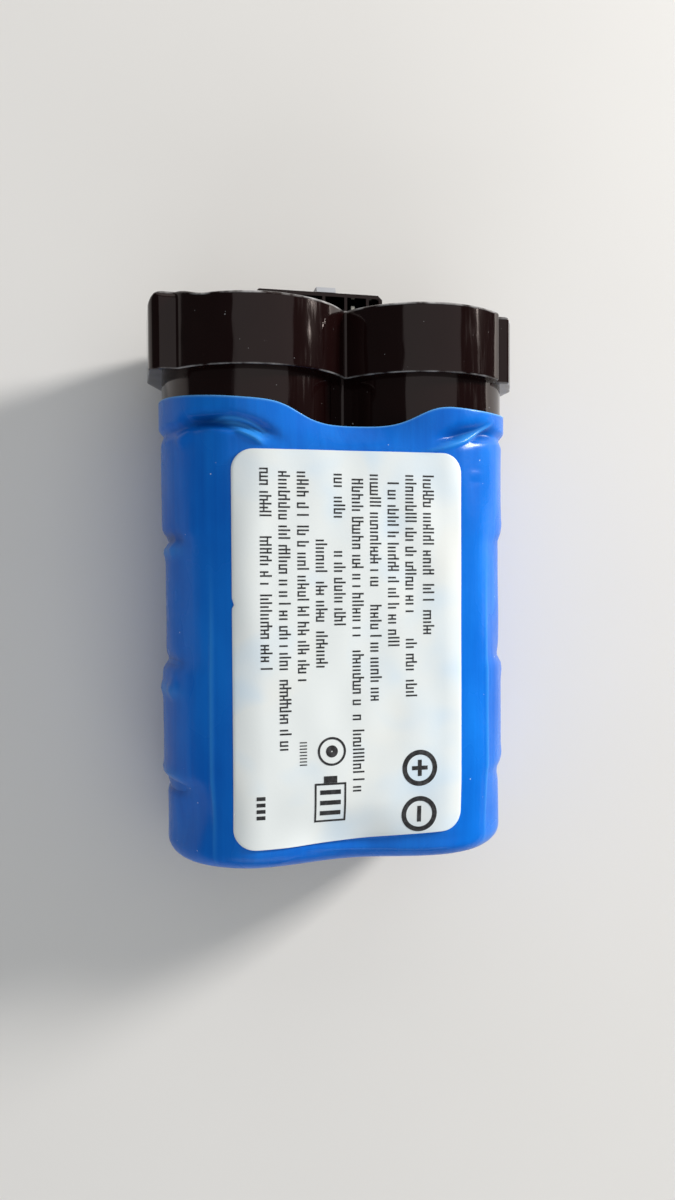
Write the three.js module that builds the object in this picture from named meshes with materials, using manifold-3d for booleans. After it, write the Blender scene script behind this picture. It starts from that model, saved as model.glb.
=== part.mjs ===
// Two-cell lithium-ion battery pack in a heat-shrunk sleeve, with a moulded end cap.
// Millimetres. +X runs across both cells, +Y along them towards the cap, +Z out of the label.
// While it is built, y = 0 is the sleeve's closed end and z = 0 is the plane of the cell axes.

import * as THREE from 'three';
import { mergeVertices } from 'three/addons/utils/BufferGeometryUtils.js';
import Module from 'manifold-3d';

const wasm = await Module();
wasm.setup();

// ---------------------------------------------------------------- driving dimensions

const CELL = {
  radius: 10.6,
  length: 70.3,
  spacing: 24.3,
  start: 0.9,
  wrap: 0.1,
  canWall: 0.3,
  fit: 0.05,
};
const HALF_SPACING = CELL.spacing / 2;
const CELL_END = CELL.start + CELL.length;
const CAN_RADIUS = CELL.radius - CELL.wrap;

// Heights above the can's base of what closes a cell.
const CROWN = {
  beadFrom: 63.4,
  beadTo: 65.0,
  beadDepth: 1.3,
  crimp: 69.9,
  crimpInner: 8.9,
  capBase: 66.0,
  capRadius: 9.4,
  buttonRadius: 3.6,
  ringInner: 4.4,
  ringThickness: 0.2,
};
const ROLL = { radius: 10.05, mandrel: 1.6, from: 1, to: 62.6 };

const FILM = 0.3;
const SLEEVE = {
  sunkRadius: 12.05,
  bandRadius: 12.5,
  skirtRadius: 12.8,
  corner: 2.6,
  lipInset: 4.6,
  top: 61.2,
  topRise: 1.6,
  dipDepth: 2.8,
  dipHalfWidth: 8.8,
  endSag: 1.6,
};
const LABEL = { left: -16.3, right: 14.75, from: 3.1, to: 55.15, corner: 2.7, thickness: 0.2, gap: 0.12 };

const BRACKET = { outerRadius: 12.1, holeRadius: 10.75, webHalfWidth: 2.0, webHalfHeight: 2.4 };
const LOWER_BRACKET = [12.3, 25.8];
const UPPER_BRACKET = [44.8, 56.8];

const CAP = {
  lipRadius: 13.94,
  lipHalfSpacing: 12,
  lipHoleRadius: 12.3,
  lipFrom: 65.7,
  end: 75,
  endWall: 1.2,
  skirtRadius: 12.35,
  skirtHoleRadius: 11.05,
  skirtFrom: 59.8,
  tongueFrom: 57.6,
  tongueHalfWidth: 8,
  valleyHalfWidth: 3,
  valleyHeight: 5.6,
  wall: 1.3,
};
const LEFT_RIB = { top: 8.8, side: -26.45, round: 1.85, sideBottom: -1.5, rootX: -24.8, rootZ: -5.5 };
const RIGHT_RIB = { top: 8.8, inner: 21, corner: 23.2, rootX: 25.2, rootZ: 4.4 };
const RIB_LEAD_IN = 1.3;

const TERMINALS = {
  left: -12.1,
  right: 5.9,
  top: 4.8,
  bottom: -5,
  standOff: 3,
  wall: 0.5,
  rib: 0.4,
  floor: 1,
  lastRib: 3.77,
  pitch: 3.12,
  ribs: 5,
  cornerCut: 0.6,
  mouth: 74.2,
  windowGap: 0.2,
};
const CONTACT = { blade: 0.5, top: 2.6, bottom: -3.4, tip: 77 };
const CLIP = { x: -2.1, halfWidth: 1.35, bottom: 1.8, reach: 0.75 };

const BOARD = {
  width: 43,
  height: 17,
  corner: 4,
  thickness: 0.8,
  back: 73.4,
  notchHalfWidth: 3.8,
  notchFrom: 5,
};
const COMPONENT_HEIGHT = 0.8;
const STRIP = 0.2;
const CARD = { thickness: 0.2, radius: 9.2, bottomWeb: [8, 7], topWeb: [3.3, 4.4] };
const GAP = 0.05;
const TAB = { size: 7, arm: 3.2, reach: 7.4, slotHalfWidth: 0.5, slotMargin: 0.3 };
const LINK = { corner: 1, slotHalfLength: 6, slotHalfWidth: 0.4 };
const TAP = { halfThickness: 0.1, bottom: 2.65, top: 4.05, channel: 0.28, channelWall: 0.12 };
const THERMISTOR = {
  beadRadius: 1.1,
  beadFrom: 34,
  beadTo: 38,
  height: -3.55,
  leadRadius: 0.2,
  leadOffset: 0.35,
};
const FOAM = { halfWidth: 1.2, halfHeight: 2.2, from: 28, to: 32 };

// ---------------------------------------------------------------- finishes

function finish(color, roughness, metalness) {
  return () => new THREE.MeshStandardMaterial({ color, roughness, metalness });
}

const FINISH = {
  sleeve: finish('#1f62c9', 0.3, 0),
  label: finish('#e8eeec', 0.45, 0),
  cap: finish('#171413', 0.22, 0),
  bracket: finish('#26282b', 0.55, 0),
  steel: finish('#a9adb0', 0.35, 1),
  nickel: finish('#c9c5b8', 0.3, 1),
  contact: finish('#d3d0c6', 0.22, 1),
  roll: finish('#5c5148', 0.7, 0.2),
  wrap: finish('#2f9c6c', 0.4, 0),
  gasket: finish('#dedcd2', 0.6, 0),
  card: finish('#c9bb9a', 0.85, 0),
  board: finish('#1f5a34', 0.4, 0),
  chip: finish('#1b1b1d', 0.5, 0),
  ceramic: finish('#b79b74', 0.45, 0),
  foam: finish('#3a3a3d', 0.95, 0),
  lead: finish('#a02c24', 0.5, 0),
  clip: finish('#b9bcc0', 0.35, 0),
};

// ---------------------------------------------------------------- solids

function toManifold(geometry) {
  const bare = geometry.clone();
  bare.deleteAttribute('normal');
  bare.deleteAttribute('uv');
  const merged = mergeVertices(bare, 1e-4);
  return new wasm.Manifold(new wasm.Mesh({
    numProp: 3,
    vertProperties: new Float32Array(merged.attributes.position.array),
    triVerts: new Uint32Array(merged.index.array),
  }));
}

function toGeometry(manifold) {
  const mesh = manifold.getMesh();
  const geometry = new THREE.BufferGeometry();
  geometry.setAttribute('position', new THREE.BufferAttribute(new Float32Array(mesh.vertProperties), 3));
  geometry.setIndex(new THREE.BufferAttribute(new Uint32Array(mesh.triVerts), 1));
  geometry.computeVertexNormals();
  return geometry;
}

function block(x, y, z) {
  const geometry = new THREE.BoxGeometry(x[1] - x[0], y[1] - y[0], z[1] - z[0]);
  geometry.translate((x[0] + x[1]) / 2, (y[0] + y[1]) / 2, (z[0] + z[1]) / 2);
  return geometry;
}

function solidBlock(x, y, z) {
  return toManifold(block(x, y, z));
}

// A flat outline drawn in X and Z, run along Y.
function alongY(shape, y, curveSegments = 10) {
  const options = { depth: y[1] - y[0], bevelEnabled: false, curveSegments };
  const geometry = new THREE.ExtrudeGeometry(shape, options);
  geometry.rotateX(Math.PI / 2);
  geometry.translate(0, y[1], 0);
  return geometry;
}

function cylinderAlongY(radius, centreX, y, segments = 56) {
  const geometry = new THREE.CylinderGeometry(radius, radius, y[1] - y[0], segments);
  geometry.translate(centreX, (y[0] + y[1]) / 2, 0);
  return toManifold(geometry);
}

// Two round lobes side by side, and the block that fills the valley between them.
function lobes(radius, halfSpacing, y, webHalfWidth, webHalfHeight) {
  const web = [-webHalfWidth, webHalfWidth];
  return cylinderAlongY(radius, -halfSpacing, y)
    .add(cylinderAlongY(radius, halfSpacing, y))
    .add(solidBlock(web, y, [-webHalfHeight, webHalfHeight]));
}

function roundedPlate(width, height, corner) {
  const right = width / 2 - corner;
  const top = height / 2 - corner;
  const shape = new THREE.Shape();
  shape.absarc(right, top, corner, 0, Math.PI / 2, false);
  shape.absarc(-right, top, corner, Math.PI / 2, Math.PI, false);
  shape.absarc(-right, -top, corner, Math.PI, 3 * Math.PI / 2, false);
  shape.absarc(right, -top, corner, 3 * Math.PI / 2, 2 * Math.PI, false);
  shape.closePath();
  return shape;
}

// A closed profile of [radius, height] pairs, turned about Y.
function turned(profile, segments = 32) {
  const points = profile.map(([radius, height]) => new THREE.Vector2(radius, height));
  return new THREE.LatheGeometry(points, segments);
}

function ring(outerRadius, innerRadius, from, to) {
  return turned([
    [innerRadius, from],
    [outerRadius, from],
    [outerRadius, to],
    [innerRadius, to],
    [innerRadius, from],
  ]);
}

// Two triangles between each pair of neighbours in two loops of points.
function joinLoops(index, here, after, columns) {
  for (let j = 0; j < columns; j += 1) {
    const next = (j + 1) % columns;
    index.push(here + j, after + j, here + next);
    index.push(here + next, after + j, after + next);
  }
}

function skinGeometry(rows, index) {
  const geometry = new THREE.BufferGeometry();
  geometry.setAttribute('position', new THREE.Float32BufferAttribute(rows.flat(2), 3));
  geometry.setIndex(index);
  geometry.computeVertexNormals();
  return geometry;
}

// Rows of points, each a closed loop; the last row joins the first one.
function closedSkin(rows) {
  const columns = rows[0].length;
  const index = [];
  rows.forEach((_, i) => {
    joinLoops(index, i * columns, ((i + 1) % rows.length) * columns, columns);
  });
  return skinGeometry(rows, index);
}

// Rows of points, each a closed loop, with a flat fan over the first row and the last one.
function closedEnds(rows) {
  const columns = rows[0].length;
  const index = [];
  const cover = (start, flip) => {
    for (let j = 0; j < columns / 2 - 1; j += 1) {
      const corners = [start + j, start + j + 1, start + columns - 2 - j, start + columns - 1 - j];
      const [a, b, c, d] = flip ? corners.reverse() : corners;
      index.push(a, b, c, a, c, d);
    }
  };
  for (let i = 0; i + 1 < rows.length; i += 1) {
    joinLoops(index, i * columns, (i + 1) * columns, columns);
  }
  cover(0, false);
  cover((rows.length - 1) * columns, true);
  return skinGeometry(rows, index);
}

// ---------------------------------------------------------------- scene graph

const pack = new THREE.Group();

function place(name, geometry, finishName, parent = pack) {
  const mesh = new THREE.Mesh(geometry, FINISH[finishName]());
  mesh.name = name;
  parent.add(mesh);
  return mesh;
}

// ---------------------------------------------------------------- shrink sleeve and label

function smooth(from, to, value) {
  return THREE.MathUtils.smoothstep(value, from, to);
}

// Heights that both the film and the label have a row of points at.
const BAND_HEIGHTS = [9.4, 10.7, 12.3, 19, 25.8, 27.4, 35, 43.2, 44.8, 51];
const EDGE_HEIGHTS = [54, 56, 56.8, 57.6, 58.2, 58.8, 59.4, 60.2];

// How far a bracket under the film pushes it out, from 0 to 1, at a height.
function bandAt([from, to], height) {
  const run = 1.6;
  return smooth(from - run, from, height) * (1 - smooth(to, to + run, height));
}

function sleeveRadius(height) {
  const band = bandAt(LOWER_BRACKET, height) + bandAt(UPPER_BRACKET, height);
  const skirt = smooth(CAP.skirtFrom - 1.8, CAP.skirtFrom - 0.5, height);
  const bulge = (SLEEVE.bandRadius - SLEEVE.sunkRadius) * band * (1 - skirt);
  return SLEEVE.sunkRadius + bulge + (SLEEVE.skirtRadius - SLEEVE.sunkRadius) * skirt;
}

// The film hangs in a little between the lobes at its closed end.
function sleeveSag(height) {
  return SLEEVE.endSag * (1 - smooth(1, 9, height));
}

// The cut end rises towards the sides and dips over the valley between the lobes.
function sleeveTop(x) {
  const reach = x / (HALF_SPACING + SLEEVE.skirtRadius);
  const dip = SLEEVE.dipDepth * Math.exp(-((x / SLEEVE.dipHalfWidth) ** 4));
  return SLEEVE.top + SLEEVE.topRise * reach * reach - dip;
}

function flatHeight(x, radius, sag) {
  return radius - sag * (1 + Math.cos(Math.PI * x / HALF_SPACING)) / 2;
}

// Near its cut end a loop of the film follows the curved edge.
function loopHeight(x, height) {
  const stretchFrom = CAP.tongueFrom - 8;
  const stretch = (sleeveTop(x) - stretchFrom) / (SLEEVE.top - stretchFrom);
  return height < stretchFrom ? height : stretchFrom + (height - stretchFrom) * stretch;
}

// One loop of the sleeve: right lobe, upper flat, left lobe, lower flat.
function sleeveLoop(inset, height) {
  const arcSteps = 14;
  const flatSteps = 8;
  const sag = sleeveSag(height);
  const loop = [];
  for (const side of [1, -1]) {
    for (let i = 0; i < arcSteps; i += 1) {
      const angle = Math.PI * (i / arcSteps - 0.5);
      const across = side * (HALF_SPACING + SLEEVE.skirtRadius * Math.cos(angle));
      const y = loopHeight(across, height);
      const radius = sleeveRadius(y) - inset;
      loop.push([side * (HALF_SPACING + radius * Math.cos(angle)), y, side * radius * Math.sin(angle)]);
    }
    for (let i = 0; i < flatSteps; i += 1) {
      const x = side * HALF_SPACING * (1 - 2 * i / flatSteps);
      const y = loopHeight(x, height);
      loop.push([x, y, side * flatHeight(x, sleeveRadius(y) - inset, sag)]);
    }
  }
  return loop;
}

// [inset, height] pairs up one face of the film, from its turned-in lip to its cut end.
function sleeveProfile(depth) {
  const cornerSteps = 4;
  const wallHeights = [4, 5.8, 7.6, ...BAND_HEIGHTS, ...EDGE_HEIGHTS, SLEEVE.top];
  const arcRadius = SLEEVE.corner - depth;
  const profile = [[SLEEVE.lipInset, depth]];
  for (let i = 0; i <= cornerSteps; i += 1) {
    const angle = Math.PI * i / (2 * cornerSteps);
    profile.push([
      SLEEVE.corner - arcRadius * Math.sin(angle),
      SLEEVE.corner - arcRadius * Math.cos(angle),
    ]);
  }
  return [...profile, ...wallHeights.map((height) => [depth, height])];
}

function sleeveGeometry() {
  const loops = (depth) => sleeveProfile(depth).map(([inset, height]) => sleeveLoop(inset, height));
  return closedSkin([...loops(0), ...loops(FILM).reverse()]);
}

// Height of the film's label side at a point.
function filmHeight(x, y) {
  const radius = sleeveRadius(y);
  const past = Math.abs(x) - HALF_SPACING;
  return past > 0 ? Math.sqrt(radius * radius - past * past) : flatHeight(x, radius, sleeveSag(y));
}

// The label's right and left edges at a height, drawn in at its rounded corners.
function labelSpan(y) {
  const past = Math.max(LABEL.from + LABEL.corner - y, y - LABEL.to + LABEL.corner, 0);
  const inset = LABEL.corner - Math.sqrt(Math.max(LABEL.corner ** 2 - past ** 2, 0));
  return [LABEL.left + inset, LABEL.right - inset];
}

function labelGeometry() {
  const columns = 20;
  const cornerSteps = 4;
  const heights = [];
  for (let i = 0; i <= cornerSteps; i += 1) {
    heights.push(LABEL.from + LABEL.corner * (1 - Math.cos(Math.PI * i / (2 * cornerSteps))));
  }
  heights.push(7.6, ...BAND_HEIGHTS);
  for (let i = cornerSteps; i >= 0; i -= 1) {
    heights.push(LABEL.to - LABEL.corner * (1 - Math.cos(Math.PI * i / (2 * cornerSteps))));
  }
  const rows = heights.map((y) => {
    const [left, right] = labelSpan(y);
    const line = (lift) => Array.from({ length: columns + 1 }, (_, i) => {
      const x = left + (right - left) * i / columns;
      return [x, y, filmHeight(x, y) + lift];
    });
    return [...line(LABEL.gap), ...line(LABEL.gap + LABEL.thickness).reverse()];
  });
  return closedEnds(rows);
}

place('shrink_sleeve', sleeveGeometry(), 'sleeve');
place('label', labelGeometry(), 'label');

// ---------------------------------------------------------------- end cap

function leftRib() {
  const { top, side, round, sideBottom, rootX, rootZ } = LEFT_RIB;
  const shape = new THREE.Shape();
  shape.moveTo(-HALF_SPACING, rootZ);
  shape.lineTo(-HALF_SPACING, top);
  shape.lineTo(side + round, top);
  shape.absarc(side + round, top - round, round, Math.PI / 2, Math.PI, false);
  shape.lineTo(side, sideBottom);
  shape.lineTo(rootX, rootZ);
  shape.closePath();
  return toManifold(alongY(shape, [CAP.lipFrom, CAP.end], 6));
}

function rightRib() {
  const { top, corner, rootX, rootZ } = RIGHT_RIB;
  const shape = new THREE.Shape();
  shape.moveTo(HALF_SPACING, 0);
  shape.lineTo(rootX - 1, 0);
  shape.lineTo(rootX, rootZ);
  shape.lineTo(corner, top);
  shape.lineTo(HALF_SPACING, top);
  shape.closePath();
  return toManifold(alongY(shape, [CAP.lipFrom, CAP.end]));
}

// A block turned to 45 degrees that takes the outer corner off a rib at the cap's end.
function leadInCutter(x, side) {
  const size = 2 * RIB_LEAD_IN * Math.SQRT1_2;
  const geometry = new THREE.BoxGeometry(size, size, 2 * CAP.lipRadius);
  geometry.rotateZ(Math.PI / 4);
  geometry.translate(x + side * 0.01, CAP.end + 0.01, 0);
  return toManifold(geometry);
}

function terminalWindow() {
  const { left, right, top, bottom, windowGap } = TERMINALS;
  return solidBlock(
    [left - windowGap, right + windowGap],
    [CAP.end - CAP.endWall - 1, CAP.end + 1],
    [bottom - windowGap, top + windowGap],
  );
}

function capGeometry() {
  const joint = 0.2;
  const lip = lobes(CAP.lipRadius, CAP.lipHalfSpacing, [CAP.lipFrom, CAP.end], 1, 4)
    .add(leftRib())
    .add(rightRib())
    .subtract(solidBlock([RIGHT_RIB.inner, 30], [CAP.lipFrom - 1, CAP.end + 1], [RIGHT_RIB.top, 20]))
    .subtract(leadInCutter(LEFT_RIB.side, -1))
    .subtract(leadInCutter(CAP.lipHalfSpacing + CAP.lipRadius, 1));

  const skirtSpan = [CAP.tongueFrom, CAP.lipFrom + joint];
  const skirt = lobes(CAP.skirtRadius, HALF_SPACING, skirtSpan, CAP.valleyHalfWidth, CAP.valleyHeight);
  const outsideTongue = [CAP.tongueFrom - 1, CAP.skirtFrom];
  const besideTongue = (side) => {
    const x = [side * CAP.tongueHalfWidth, side * 30].sort((a, b) => a - b);
    return solidBlock(x, outsideTongue, [-20, 20]);
  };

  const holeSpan = [CAP.tongueFrom - 1, CAP.lipFrom + CAP.wall];
  const valleyHole = CAP.valleyHeight - CAP.wall;
  const skirtHole = lobes(CAP.skirtHoleRadius, HALF_SPACING, holeSpan, 2.4, valleyHole);
  const lipHole = lobes(
    CAP.lipHoleRadius,
    CAP.lipHalfSpacing,
    [CAP.lipFrom + CAP.wall - joint, CAP.end - CAP.endWall],
    3.4,
    5.4,
  );
  return lip
    .add(skirt.subtract(besideTongue(1)).subtract(besideTongue(-1)))
    .subtract(skirtHole)
    .subtract(lipHole)
    .subtract(terminalWindow());
}

// ---------------------------------------------------------------- terminal block and contacts

function ribX(count) {
  return TERMINALS.lastRib - count * TERMINALS.pitch;
}

// X limits of each cavity, from the right end of the block to its left end.
function cavities() {
  const { left, right, wall, rib, ribs } = TERMINALS;
  const spans = [[ribX(0) + rib / 2, right - wall]];
  for (let i = 1; i < ribs; i += 1) {
    spans.push([ribX(i) + rib / 2, ribX(i - 1) - rib / 2]);
  }
  spans.push([left + wall, ribX(ribs - 1) - rib / 2]);
  return spans;
}

function terminalBlock() {
  const { left, right, top, bottom, standOff, wall, floor, cornerCut, mouth } = TERMINALS;
  const end = CAP.end + standOff;
  const outline = new THREE.Shape();
  outline.moveTo(left, bottom);
  outline.lineTo(right, bottom);
  outline.lineTo(right, top);
  outline.lineTo(left, top);
  outline.closePath();
  let body = toManifold(alongY(outline, [BOARD.back + GAP, end]));
  for (const x of [left, right]) {
    const cutter = new THREE.BoxGeometry(cornerCut * Math.SQRT2, cornerCut * Math.SQRT2, 30);
    cutter.rotateZ(Math.PI / 4);
    cutter.translate(x, end, 0);
    body = body.subtract(toManifold(cutter));
  }
  for (const [from, to] of cavities()) {
    body = body.subtract(solidBlock([from, to], [mouth, end - wall], [bottom + floor, top + 1]));
  }
  for (const contact of contactSpans()) {
    const halfSlot = CONTACT.blade / 2 + GAP;
    body = body.subtract(solidBlock(
      [contact.centre - halfSlot, contact.centre + halfSlot],
      [BOARD.back - 1, mouth + 1],
      [CONTACT.bottom - GAP, CONTACT.top + GAP],
    ));
  }
  return body;
}

// Four of the six cavities hold a contact.
function contactSpans() {
  const filled = { contact_positive: 0, contact_identity: 1, contact_thermistor: 4, contact_negative: 5 };
  return Object.entries(filled).map(([name, place]) => {
    const [from, to] = cavities()[place];
    return { name, centre: (from + to) / 2 };
  });
}

function contactGeometry(centre) {
  const half = CONTACT.blade / 2;
  return block(
    [centre - half, centre + half],
    [BOARD.back + GAP, CONTACT.tip],
    [CONTACT.bottom, CONTACT.top],
  );
}

function clipGeometry() {
  const { x, halfWidth, bottom, reach } = CLIP;
  const face = CAP.end + TERMINALS.standOff + GAP;
  const shape = new THREE.Shape();
  shape.moveTo(0, bottom);
  shape.lineTo(reach, bottom + reach);
  shape.lineTo(reach, TERMINALS.top - reach / 2);
  shape.lineTo(0, TERMINALS.top);
  shape.closePath();
  const geometry = new THREE.ExtrudeGeometry(shape, { depth: 2 * halfWidth, bevelEnabled: false });
  geometry.translate(0, 0, -halfWidth);
  geometry.applyMatrix4(new THREE.Matrix4().makeBasis(
    new THREE.Vector3(0, 1, 0),
    new THREE.Vector3(0, 0, 1),
    new THREE.Vector3(1, 0, 0),
  ));
  geometry.translate(x, face, 0);
  return geometry;
}

place('cap_shell', toGeometry(capGeometry()), 'cap');
place('terminal_block', toGeometry(terminalBlock()), 'cap');
place('coding_clip', clipGeometry(), 'clip');
contactSpans().forEach(({ name, centre }) => place(name, contactGeometry(centre), 'contact'));

// ---------------------------------------------------------------- cells

// Everything in a cell is turned about Y, from the can's base at height 0.
function cellParts() {
  const { beadFrom, beadTo, beadDepth, crimp, crimpInner, capBase, capRadius } = CROWN;
  const wall = CELL.canWall;
  const beadMiddle = (beadFrom + beadTo) / 2;
  const can = turned([
    [0, 0],
    [CAN_RADIUS - 0.6, 0],
    [CAN_RADIUS, 0.6],
    [CAN_RADIUS, beadFrom],
    [CAN_RADIUS - beadDepth, beadMiddle],
    [CAN_RADIUS, beadTo],
    [CAN_RADIUS, crimp - 0.5],
    [CAN_RADIUS - 0.5, crimp],
    [crimpInner, crimp],
    [crimpInner, crimp - wall],
    [CAN_RADIUS - wall, crimp - wall],
    [CAN_RADIUS - wall, beadTo + wall],
    [CAN_RADIUS - beadDepth - wall, beadMiddle],
    [CAN_RADIUS - wall, beadFrom - wall],
    [CAN_RADIUS - wall, 0.9],
    [CAN_RADIUS - 0.9, wall],
    [0, wall],
  ]);
  const capTop = crimp - wall - 1.2;
  const gasket = turned([
    [capRadius + GAP, capBase],
    [CAN_RADIUS - wall - GAP, capBase],
    [CAN_RADIUS - wall - GAP, crimp - wall - GAP],
    [crimpInner, crimp - wall - GAP],
    [crimpInner, capTop + GAP],
    [capRadius + GAP, capTop + GAP],
    [capRadius + GAP, capBase],
  ]);
  const button = CROWN.buttonRadius;
  const cap = turned([
    [0, capBase],
    [capRadius, capBase],
    [capRadius, capTop],
    [button + 1, capTop],
    [button + 0.4, CELL.length],
    [0, CELL.length],
  ]);
  const roll = ring(ROLL.radius, ROLL.mandrel, ROLL.from, ROLL.to);
  return {
    can: [can, 'steel'],
    electrode_roll: [roll, 'roll'],
    gasket: [gasket, 'gasket'],
    positive_cap: [cap, 'nickel'],
    wrap: [wrapGeometry(), 'wrap'],
    insulating_ring: [insulatingRing(), 'card'],
  };
}

// The cell's own thin sleeve, folded over both ends of the can.
function wrapGeometry() {
  const inside = CAN_RADIUS + GAP / 2;
  const outside = CELL.radius;
  const fold = CAN_RADIUS - 1.5;
  const crimp = CROWN.crimp;
  const skin = outside - inside;
  const base = -GAP / 2;
  return turned([
    [fold, base - skin],
    [outside - 0.6, base - skin],
    [outside, 0.6],
    [outside, crimp - 0.5],
    [outside - 0.5, crimp + GAP + skin],
    [fold + 0.3, crimp + GAP + skin],
    [fold + 0.3, crimp + GAP],
    [inside - 0.5, crimp + GAP],
    [inside, crimp - 0.5],
    [inside, 0.6],
    [inside - 0.6, base],
    [fold, base],
    [fold, base - skin],
  ]);
}

function insulatingRing() {
  const from = CROWN.crimp + 0.16;
  return ring(8.6, CROWN.ringInner + 0.3, from, from + CROWN.ringThickness);
}

// The cells lie opposite ways, so that one link joins them in series.
function placeCell(name, side, upsideDown) {
  const cell = new THREE.Group();
  cell.position.set(side * HALF_SPACING, upsideDown ? CELL_END : CELL.start, 0);
  cell.rotation.z = upsideDown ? Math.PI : 0;
  Object.entries(cellParts()).forEach(([part, [geometry, finishName]]) => {
    place(`${name}_${part}`, geometry, finishName, cell);
  });
  pack.add(cell);
}

placeCell('cell_a', -1, false);
placeCell('cell_b', 1, true);

// ---------------------------------------------------------------- brackets between the cells

function bracketGeometry(span) {
  const through = [span[0] - 1, span[1] + 1];
  const { outerRadius, holeRadius, webHalfWidth, webHalfHeight } = BRACKET;
  return lobes(outerRadius, HALF_SPACING, span, webHalfWidth, webHalfHeight)
    .subtract(cylinderAlongY(holeRadius, -HALF_SPACING, through))
    .subtract(cylinderAlongY(holeRadius, HALF_SPACING, through));
}

place('bracket_lower', toGeometry(bracketGeometry(LOWER_BRACKET)), 'bracket');
place('bracket_upper', toGeometry(bracketGeometry(UPPER_BRACKET)), 'bracket');

// ---------------------------------------------------------------- strips, cards and padding

const LINK_TOP = CELL.start - CELL.fit - 0.1;
const CARD_TOP = CELL_END + GAP + STRIP + GAP + CARD.thickness;

function linkShape() {
  const { corner, slotHalfLength, slotHalfWidth } = LINK;
  const shape = roundedPlate(CELL.spacing + TAB.size, TAB.size, corner);
  const slot = new THREE.Path();
  slot.moveTo(-slotHalfLength, -slotHalfWidth);
  slot.lineTo(-slotHalfLength, slotHalfWidth);
  slot.lineTo(slotHalfLength, slotHalfWidth);
  slot.lineTo(slotHalfLength, -slotHalfWidth);
  slot.closePath();
  shape.holes.push(slot);
  return shape;
}

// A weld plate on one end of a cell, with an arm that stands up to the board.
function tabGeometry(side) {
  const centre = side * HALF_SPACING;
  const half = TAB.size / 2;
  const arm = TAB.arm / 2;
  const from = CELL_END + GAP;
  const riser = [centre - side * TAB.reach - STRIP / 2, centre - side * TAB.reach + STRIP / 2];
  const reach = [centre, centre - side * TAB.reach].sort((a, b) => a - b);
  return solidBlock([centre - half, centre + half], [from, from + STRIP], [-half, half])
    .add(solidBlock(reach, [from, from + STRIP], [-arm, arm]))
    .add(solidBlock(riser, [from, BOARD.back - BOARD.thickness - GAP], [-arm, arm]));
}

// Insulating cards cut to the outline of both cell ends.
function bottomCard() {
  const from = FILM + GAP;
  const [webHalfWidth, webHalfHeight] = CARD.bottomWeb;
  return lobes(CARD.radius, HALF_SPACING, [from, from + CARD.thickness], webHalfWidth, webHalfHeight);
}

function topCard() {
  const span = [CARD_TOP - CARD.thickness, CARD_TOP];
  const through = [span[0] - 1, span[1] + 1];
  const slotZ = TAB.arm / 2 + TAB.slotMargin;
  const [webHalfWidth, webHalfHeight] = CARD.topWeb;
  let card = lobes(CARD.radius, HALF_SPACING, span, webHalfWidth, webHalfHeight);
  for (const side of [-1, 1]) {
    const x = side * (HALF_SPACING - TAB.reach);
    const slotX = [x - TAB.slotHalfWidth, x + TAB.slotHalfWidth];
    card = card.subtract(solidBlock(slotX, through, [-slotZ, slotZ]));
  }
  return card;
}

place('link_strip', alongY(linkShape(), [LINK_TOP - STRIP, LINK_TOP]), 'nickel');
place('tab_positive', toGeometry(tabGeometry(-1)), 'nickel');
place('tab_negative', toGeometry(tabGeometry(1)), 'nickel');
place('bottom_card', toGeometry(bottomCard()), 'card');
place('top_card', toGeometry(topCard()), 'card');

// The sense tap stands on edge between the cells, in a folded channel of insulating film.
const ALONG_CELLS = [LINK_TOP + GAP, CELL_END - 1];

function tapChannel() {
  const { channel, channelWall, bottom, top } = TAP;
  const inside = channel - channelWall;
  return solidBlock([-channel, channel], ALONG_CELLS, [bottom - channelWall - GAP / 2, top])
    .subtract(solidBlock([-inside, inside], [0, CELL_END], [bottom - GAP / 2, top + 1]));
}

place('tap_strip', block(
  [-TAP.halfThickness, TAP.halfThickness],
  ALONG_CELLS,
  [TAP.bottom, TAP.top],
), 'nickel');
place('tap_insulation', toGeometry(tapChannel()), 'card');
place('foam_spacer', block(
  [-FOAM.halfWidth, FOAM.halfWidth],
  [FOAM.from, FOAM.to],
  [-FOAM.halfHeight, FOAM.halfHeight],
), 'foam');

// ---------------------------------------------------------------- protection board

const BOARD_FRONT = BOARD.back - BOARD.thickness;

// Name, centre in X and Z, size in X and Z, finish.
const COMPONENTS = [
  ['mosfet_charge', -6.4, 5.9, 4.9, 3.9, 'chip'],
  ['mosfet_discharge', 6.4, 5.9, 4.9, 3.9, 'chip'],
  ['protection_ic', 0, 0, 3, 3, 'chip'],
  ['sense_resistor', 7.2, -6.2, 6.3, 3.1, 'ceramic'],
  ['chip_fuse', -6.4, -6.2, 4.5, 3.2, 'ceramic'],
  ['capacitor_supply', -3.4, 1.6, 1.6, 0.8, 'ceramic'],
  ['capacitor_cell', -3.4, -1.6, 1.6, 0.8, 'ceramic'],
  ['capacitor_output', 3.4, 1.6, 1.6, 0.8, 'ceramic'],
];

// The board is notched where the shell's valleys pass it.
function boardGeometry() {
  const plate = alongY(roundedPlate(BOARD.width, BOARD.height, BOARD.corner), [BOARD_FRONT, BOARD.back]);
  const notchX = [-BOARD.notchHalfWidth, BOARD.notchHalfWidth];
  return toManifold(plate)
    .subtract(solidBlock(notchX, [BOARD_FRONT - 1, BOARD.back + 1], [BOARD.notchFrom, BOARD.height]))
    .subtract(solidBlock(notchX, [BOARD_FRONT - 1, BOARD.back + 1], [-BOARD.height, -BOARD.notchFrom]));
}

place('protection_board', toGeometry(boardGeometry()), 'board');
COMPONENTS.forEach(([name, x, z, width, height, finishName]) => {
  place(name, block(
    [x - width / 2, x + width / 2],
    [BOARD_FRONT - GAP - COMPONENT_HEIGHT, BOARD_FRONT - GAP],
    [z - height / 2, z + height / 2],
  ), finishName);
});

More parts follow.
